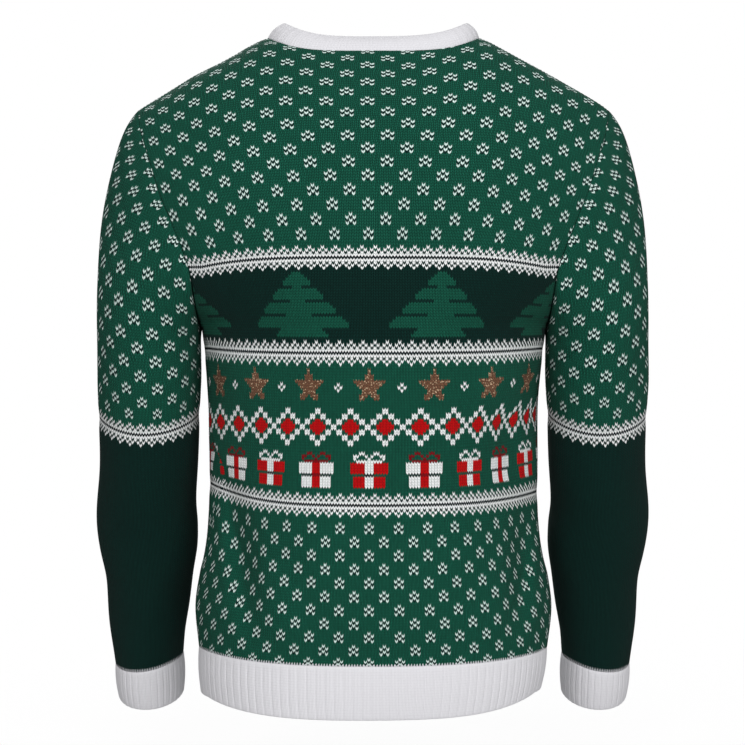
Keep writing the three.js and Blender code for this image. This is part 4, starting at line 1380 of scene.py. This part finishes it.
@dataclass
class RibBand:
    """A band of rib: a surface of its length and its way from the seam, made a wall with round edges."""

    name: str
    wall: float
    pitch: float
    relief: float
    height: float
    closed: bool
    seed: int
    columns_per_rib: int = 12
    rows: int = 12
    stitch_width: float = 2.9
    stitch_height: float = 2.7

    def shell(self, surface: Surface, inside: np.ndarray) -> tuple[np.ndarray, np.ndarray, np.ndarray]:
        """Rows of points round the wall's section, for columns along the band.

        Each rib is half a sine with a narrow bell cut out on both sides and a shallow one in the middle. The
        free edge and the seam edge are rounded to the wall's thickness.

        Args:
            surface: function of the share of the way along and the way from the seam, giving outer points.
            inside: a point well inside the band, to tell outward.

        Returns:
            Points, rows by columns by three, then each column's length and each row's way, in stitches.
        """
        line = surface(np.linspace(0, 1, 1201), np.zeros(1201))
        total = np.linalg.norm(np.diff(line, axis=0), axis=1).sum()
        ribs = max(4, round(total / self.pitch))
        count = ribs * self.columns_per_rib
        length = np.concatenate([[0], np.cumsum(np.linalg.norm(np.diff(line, axis=0), axis=1))])
        share = np.interp(np.linspace(0, total, count + 1), length, np.linspace(0, 1, 1201))
        if self.closed:
            share = share[:-1]
        way = np.linspace(0, 1, self.rows + 1)
        u, v = np.meshgrid(share, way)
        points = surface(u, v)
        step = 0.002
        along = surface(np.clip(u + step, 0, 1), v) - surface(np.clip(u - step, 0, 1), v)
        down = unit(surface(u, np.clip(v + 0.02, 0, 1)) - surface(u, np.clip(v - 0.02, 0, 1)))
        normal = unit(np.cross(along, down))
        outward = np.sum(normal * (points - inside), axis=-1).mean()
        normal = normal * (1 if outward > 0 else -1)
        phase = np.arange(u.shape[1]) / self.columns_per_rib
        rng = np.random.default_rng(self.seed)
        tall = 1 + 0.3 * rng.standard_normal(ribs + 1)
        part = phase % 1
        valley = np.exp(-((np.minimum(part, 1 - part) / 0.1) ** 2))
        ridge = 0.45 * tall[phase.astype(int) % ribs] * np.sin(math.pi * part) - valley
        ridge = ridge - 0.3 * np.exp(-(((part - 0.5) / 0.08) ** 2))
        ends = np.clip(np.minimum(way, 1.15 - way) / 0.12, 0, 1)[:, None]
        bump = self.relief * ridge[None, :] * (0.35 + 0.65 * ends)
        half = self.wall / 2
        outer = points + normal * bump[..., None]
        turns = np.radians([30, 60, 90, 120, 150])
        centre = points[-1] - normal[-1] * half
        raised = half + bump[-1][:, None]
        free = [
            centre + normal[-1] * np.cos(t) * (raised if t < math.pi / 2 else half)
            + down[-1] * np.sin(t) * half for t in turns
        ]
        inner = (points - normal * self.wall)[::-3]
        centre = points[0] - normal[0] * half
        seam = [
            centre - normal[0] * np.cos(t) * half - down[0] * np.sin(t) * half * 0.6
            for t in np.radians([45, 90, 135])
        ]
        grid = np.concatenate([outer, np.stack(free), inner, np.stack(seam)])
        ways = np.concatenate([way, np.full(5, 1.0), way[::-3], np.zeros(3)])
        ways = ways * self.height / self.stitch_height
        lengths = phase * self.pitch / self.stitch_width
        return grid, lengths, ways

    def build(self, surface: Surface, inside: np.ndarray) -> bpy.types.Object:
        """The band as an object, a ring of quads round the wall with caps where the band is open."""
        grid, lengths, ways = self.shell(surface, inside)
        count_r, count_c = grid.shape[:2]
        ids = np.arange(count_r * count_c).reshape(count_r, count_c)
        above = np.roll(ids, -1, axis=0)
        if self.closed:
            corners = (ids, np.roll(ids, -1, axis=1), np.roll(above, -1, axis=1), above)
            spans = count_c
        else:
            corners = (ids[:, :-1], ids[:, 1:], above[:, 1:], above[:, :-1])
            spans = count_c - 1
        faces = np.stack(corners, axis=-1).reshape(-1, 4).tolist()
        if not self.closed:
            faces += [ids[::-1, 0].tolist(), ids[:, -1].tolist()]
        mesh = bpy.data.meshes.new(self.name)
        mesh.from_pydata((grid.reshape(-1, 3) * MM).tolist(), [], faces)
        column, row = np.meshgrid(np.arange(spans), np.arange(count_r))
        step = lengths[1] - lengths[0]
        left, low = column * step, ways[row]
        high = np.where(row < self.rows, np.roll(ways, -1)[row], low + 0.2)
        stitches = np.stack([
            np.stack([left, low], -1), np.stack([left + step, low], -1), np.stack([left + step, high], -1),
            np.stack([left, high], -1)], axis=2).reshape(-1, 2)
        u, v = column / spans, 0.96 * row / count_r
        right, top = u + 1 / spans, v + 0.96 / count_r
        bake = np.stack([
            np.stack([u, v], -1), np.stack([right, v], -1),
            np.stack([right, top], -1), np.stack([u, top], -1),
        ], axis=2).reshape(-1, 2)
        if not self.closed:
            turn = np.linspace(0, 2 * math.pi, count_r, endpoint=False)
            disc = 0.012 * np.stack([np.cos(turn), np.sin(turn)], axis=1)
            bake = np.concatenate([bake, disc + (0.2, 0.982), disc + (0.6, 0.982)])
            stitches = np.concatenate([stitches, np.zeros((2 * count_r, 2))])
        for label, values in ((BAKE_MAP, bake), (STITCH_MAP, stitches)):
            layer = mesh.uv_layers.new(name=label)
            layer.uv.foreach_set("vector", values.astype(np.float32).ravel())
        mesh.polygons.foreach_set("use_smooth", np.ones(len(mesh.polygons), bool))
        work = bmesh.new()
        work.from_mesh(mesh)
        bmesh.ops.recalc_face_normals(work, faces=work.faces)
        work.to_mesh(mesh)
        work.free()
        piece = bpy.data.objects.new(self.name, mesh)
        bpy.context.scene.collection.objects.link(piece)
        return piece


def middle_of(surface: Surface) -> np.ndarray:
    """Middle of a closed band: the mean of forty points half way from its seam to its edge."""
    return surface(np.linspace(0, 1, 41)[:-1], np.full(40, 0.5)).mean(axis=0)


@dataclass
class HemRib:
    """The rib below one face of the body."""

    face: Face
    body: BodyForm
    height: float = 52
    side_loss: tuple[float, float] = (6, 11)
    taper: tuple[float, float] = (2, 6)
    swell: float = 1.4
    seam_gap: float = 0.3

    def surface(self, share: np.ndarray, way: np.ndarray) -> np.ndarray:
        """Outer point: the hem seam's point let down, swelling in the middle and drawn in below."""
        edge = math.pi / 2
        swing = self.face.value * math.radians(2)
        angle = (-edge) * (1 - share) + (edge - swing) * share
        angle = angle * (1 - self.seam_gap / 280)
        base = self.body.point(self.face.value, angle, np.zeros_like(angle))
        x, y = base[..., 0], base[..., 1]
        outward = unit(np.stack([x, y, np.zeros_like(x)], axis=-1))
        sideways = np.minimum(1, np.abs(x) / self.body.rise_x) ** self.body.rise_power
        height = self.height - np.where(x < 0, self.side_loss[1], self.side_loss[0]) * sideways
        left = smooth_step(-self.body.neck_x, self.body.neck_x, x)
        taper = self.taper[1] + (self.taper[0] - self.taper[1]) * left
        moved = base + outward * (self.swell * np.sin(math.pi * way) - taper * way)[..., None]
        moved[..., 2] = base[..., 2] - height * way
        return moved


@dataclass
class Cuff:
    """The rib at the end of a sleeve."""

    side: Side
    form: SleeveForm
    end: tuple = (-694, -130, 242, 35.4, 240, 35.4, 40.5, 20, 3)
    swell: float = 1.4

    def surface(self, share: np.ndarray, way: np.ndarray) -> np.ndarray:
        """Outer point: an oval between the sleeve's first one and the cuff's end, swelling in the middle."""
        names = list(self.form.sections.columns)
        rise = self.form.cuff_rise.at("rise", 2 * share) / self.form.ring_height
        start = np.stack([self.form.sections.at(name, rise) for name in names])
        end = np.array(self.end).reshape(-1, *[1] * np.ndim(way))
        at = dict(zip(names, start * (1 - way) + end * way))
        name = self.side.name.lower()
        swell = self.swell * np.sin(math.pi * way)
        angle = math.pi * (1 - 2 * share)
        back, out = np.radians(at["back"]), np.radians(at["out"])
        outward = (at[f"{name}Half"] + swell) * np.cos(angle)
        backward = (at["depth"] + swell) * np.sin(angle)
        return np.stack([
            self.side.value * (at[f"{name}X"] + outward * np.cos(out)),
            at["y"] + backward * np.cos(back),
            at["z"] - backward * np.sin(back) - outward * np.sin(out),
        ], axis=-1)


@dataclass
class Neckband:
    """The rib round the neck."""

    body: BodyForm
    lean: tuple[float, float] = (16, 11.5)
    height: float = 15.4
    swell: float = 1.6

    def seam(self, share: np.ndarray) -> np.ndarray:
        """Point of the neck seam: along the back neckline to the left, then back along the front one."""
        turn = np.where(share < 0.5, share * 4 - 1, 3 - share * 4)
        x = self.body.neck_x * np.sin(turn * math.pi / 2)
        points = []
        for face in (1, -1):
            level = self.body.top_level(face, x)
            points.append(self.body.point(face, self.body.angle_at(x, level), level))
        return np.where((share < 0.5)[..., None], points[0], points[1])

    def surface(self, share: np.ndarray, way: np.ndarray) -> np.ndarray:
        """Outer point: the neck seam's point moved in and up, swelling in the middle."""
        base = self.seam(share % 1.0)
        x, y = base[..., 0], base[..., 1]
        inward = unit(np.stack([-x, -y, np.zeros_like(x)], axis=-1))
        left = smooth_step(-self.body.neck_x, self.body.neck_x, x)
        lean = self.lean[1] + (self.lean[0] - self.lean[1]) * left
        swell = self.swell * np.sin(math.pi * way)
        moved = base + inward * (lean * way - swell)[..., None]
        moved[..., 2] = base[..., 2] + self.height * way + swell
        return moved


@dataclass
class Studio:
    """A white studio with large soft lights behind and beside the camera."""

    camera: tuple[float, float, float] = (0.001, 2.2, -0.274)
    lens: float = 103.2
    shift: float = -0.0906
    floor_z: float = -0.76
    floor_radius: float = 2.6
    floor_sides: int = 96
    world_light: float = 0.34
    aim: tuple[float, float, float] = (0, 0, -0.35)
    lamps: tuple = (
        ("key", (1.5, 5.0, 1.2), 2.6, 134), ("fill", (-2.0, 4.8, 0.6), 2.6, 170),
        ("front", (0.5, -3.0, 1.2), 2.6, 95), ("top", (0, 0.4, 2.2), 2.0, 12),
    )

    def build(self) -> None:
        """Place the camera, the lights, the pale floor and the white surroundings."""
        scene = bpy.context.scene
        scene.view_settings.view_transform = "Standard"
        data = bpy.data.cameras.new("camera")
        data.lens, data.sensor_width, data.shift_y = self.lens, 36, self.shift
        camera = bpy.data.objects.new("camera", data)
        camera.location = self.camera
        camera.rotation_euler = (math.pi / 2, 0, math.pi)
        scene.collection.objects.link(camera)
        scene.camera = camera
        for name, place, size, power in self.lamps:
            lamp = bpy.data.lights.new(name, "AREA")
            lamp.size, lamp.energy = size, power
            light = bpy.data.objects.new(name, lamp)
            light.location = place
            aim = np.array(self.aim) - np.array(place)
            yaw = math.atan2(aim[1], aim[0]) - math.pi / 2
            pitch = math.atan2(aim[2], math.hypot(aim[0], aim[1])) + math.pi / 2
            light.rotation_euler = (pitch, 0, yaw)
            scene.collection.objects.link(light)
        world = bpy.data.worlds.new("studio")
        world.use_nodes = True
        tree = world.node_tree
        tree.nodes.clear()
        seen = node_of(tree, "LightPath").outputs["Is Camera Ray"]
        strength = calc(tree, "MULTIPLY_ADD", seen, 1 - self.world_light, self.world_light)
        back = node_of(tree, "Background", None, Color=(1, 1, 1, 1), Strength=strength)
        node_of(tree, "OutputWorld", None, Surface=back.outputs[0])
        scene.world = world
        self.floor()

    def floor(self) -> None:
        """A pale round floor that fades into the white surroundings at its edge."""
        turn = np.linspace(0, 2 * math.pi, self.floor_sides, endpoint=False)
        across, along = self.floor_radius * np.cos(turn), self.floor_radius * np.sin(turn)
        rim = np.stack([across, along, np.full(self.floor_sides, self.floor_z)], axis=1)
        mesh = bpy.data.meshes.new("studio_floor")
        mesh.from_pydata(rim.tolist(), [], [list(range(self.floor_sides))])
        floor = bpy.data.objects.new("studio_floor", mesh)
        bpy.context.scene.collection.objects.link(floor)
        material = bpy.data.materials.new("white_floor_paint")
        material.use_nodes = True
        tree = material.node_tree
        tree.nodes.clear()
        where = node_of(tree, "TexCoord").outputs["Object"]
        split = node_of(tree, "SeparateXYZ", None, Vector=where)
        across = calc(tree, "MULTIPLY", split.outputs[0], split.outputs[0])
        radius = calc(tree, "SQRT", calc(tree, "MULTIPLY_ADD", split.outputs[1], split.outputs[1], across))
        fade = ramp(tree, radius, 0.2, 1.1, 0.92, 1.0)
        paint = node_of(tree, "BsdfDiffuse", None, Color=(0.9, 0.9, 0.9, 1))
        clear = node_of(tree, "BsdfTransparent")
        blend = node_of(tree, "MixShader", None, in0=fade, in1=paint.outputs[0], in2=clear.outputs[0])
        node_of(tree, "OutputMaterial", None, Surface=blend.outputs[0])
        mesh.materials.append(material)


@dataclass
class Jumper:
    """The whole jumper."""

    body: BodyForm = field(default_factory=BodyForm)
    pattern: BodyPattern = field(default_factory=BodyPattern)

    def build(self) -> None:
        """Make every piece, in the order in which they are sewn."""
        green = JacquardKnit().material()
        white = RibKnit().material()
        yarns = self.pattern.yarns
        for face, area in ((Face.BACK, 0.262), (Face.FRONT, 0.245)):
            name = face.name.lower()
            shell = Panel(face, self.body, self.pattern).build()
            piece = mesh_from_shell(f"{name}_knit", shell, yarns, 11 + face.value)
            ClothPiece(
                f"{name}_panel", PATTERN_SLOT, (0.5, 0.67), area, "hung", ("neckband",),
            ).finish(piece, green)
        for side in Side:
            name = side.name.lower()
            sleeve = Sleeve(side, self.body)
            piece = mesh_from_shell(f"sleeve_{name}_knit", sleeve.build(), yarns, 21 + side.value)
            ClothPiece(
                f"sleeve_{name}", PATTERN_SLOT, (0.4, 0.57), 0.165, "hung", ("back_panel",),
            ).finish(piece, green)
            cuff = Cuff(side, sleeve.form)
            band = RibBand(
                f"cuff_{name}_rib", wall=3.0, pitch=7.2, relief=0.55, height=38, closed=True,
                seed=31 + side.value, rows=9)
            piece = band.build(cuff.surface, middle_of(cuff.surface))
            ClothPiece(
                f"cuff_{name}", RIB_SLOT, (0.25, 0.04), 0.0098, "stretched", (f"sleeve_{name}",),
            ).finish(piece, white)
        for face in Face:
            name = face.name.lower()
            rib = HemRib(face, self.body)
            band = RibBand(
                f"hem_rib_{name}_rib", wall=3.0, pitch=9.1, relief=0.4, height=52, closed=False,
                seed=41 + face.value)
            piece = band.build(rib.surface, np.array([0, 0, self.body.hem_z - 25.0]))
            ClothPiece(
                f"hem_rib_{name}", RIB_SLOT, (0.47, 0.054), 0.0245, "stretched",
                (f"{name}_panel",),
            ).finish(piece, white)
        neck = Neckband(self.body)
        band = RibBand(
            "neckband_rib", wall=3.6, pitch=3.3, relief=0.2, height=22, closed=True, seed=51,
            columns_per_rib=5, rows=8)
        piece = band.build(neck.surface, middle_of(neck.surface))
        ClothPiece(
            "neckband", RIB_SLOT, (0.56, 0.022), 0.0123, "stretched",
            ("back_panel", "front_panel"),
        ).finish(piece, white)


def main() -> None:
    """Build the studio and the jumper."""
    Studio().build()
    Jumper().build()


if __name__ == "__main__":
    main()
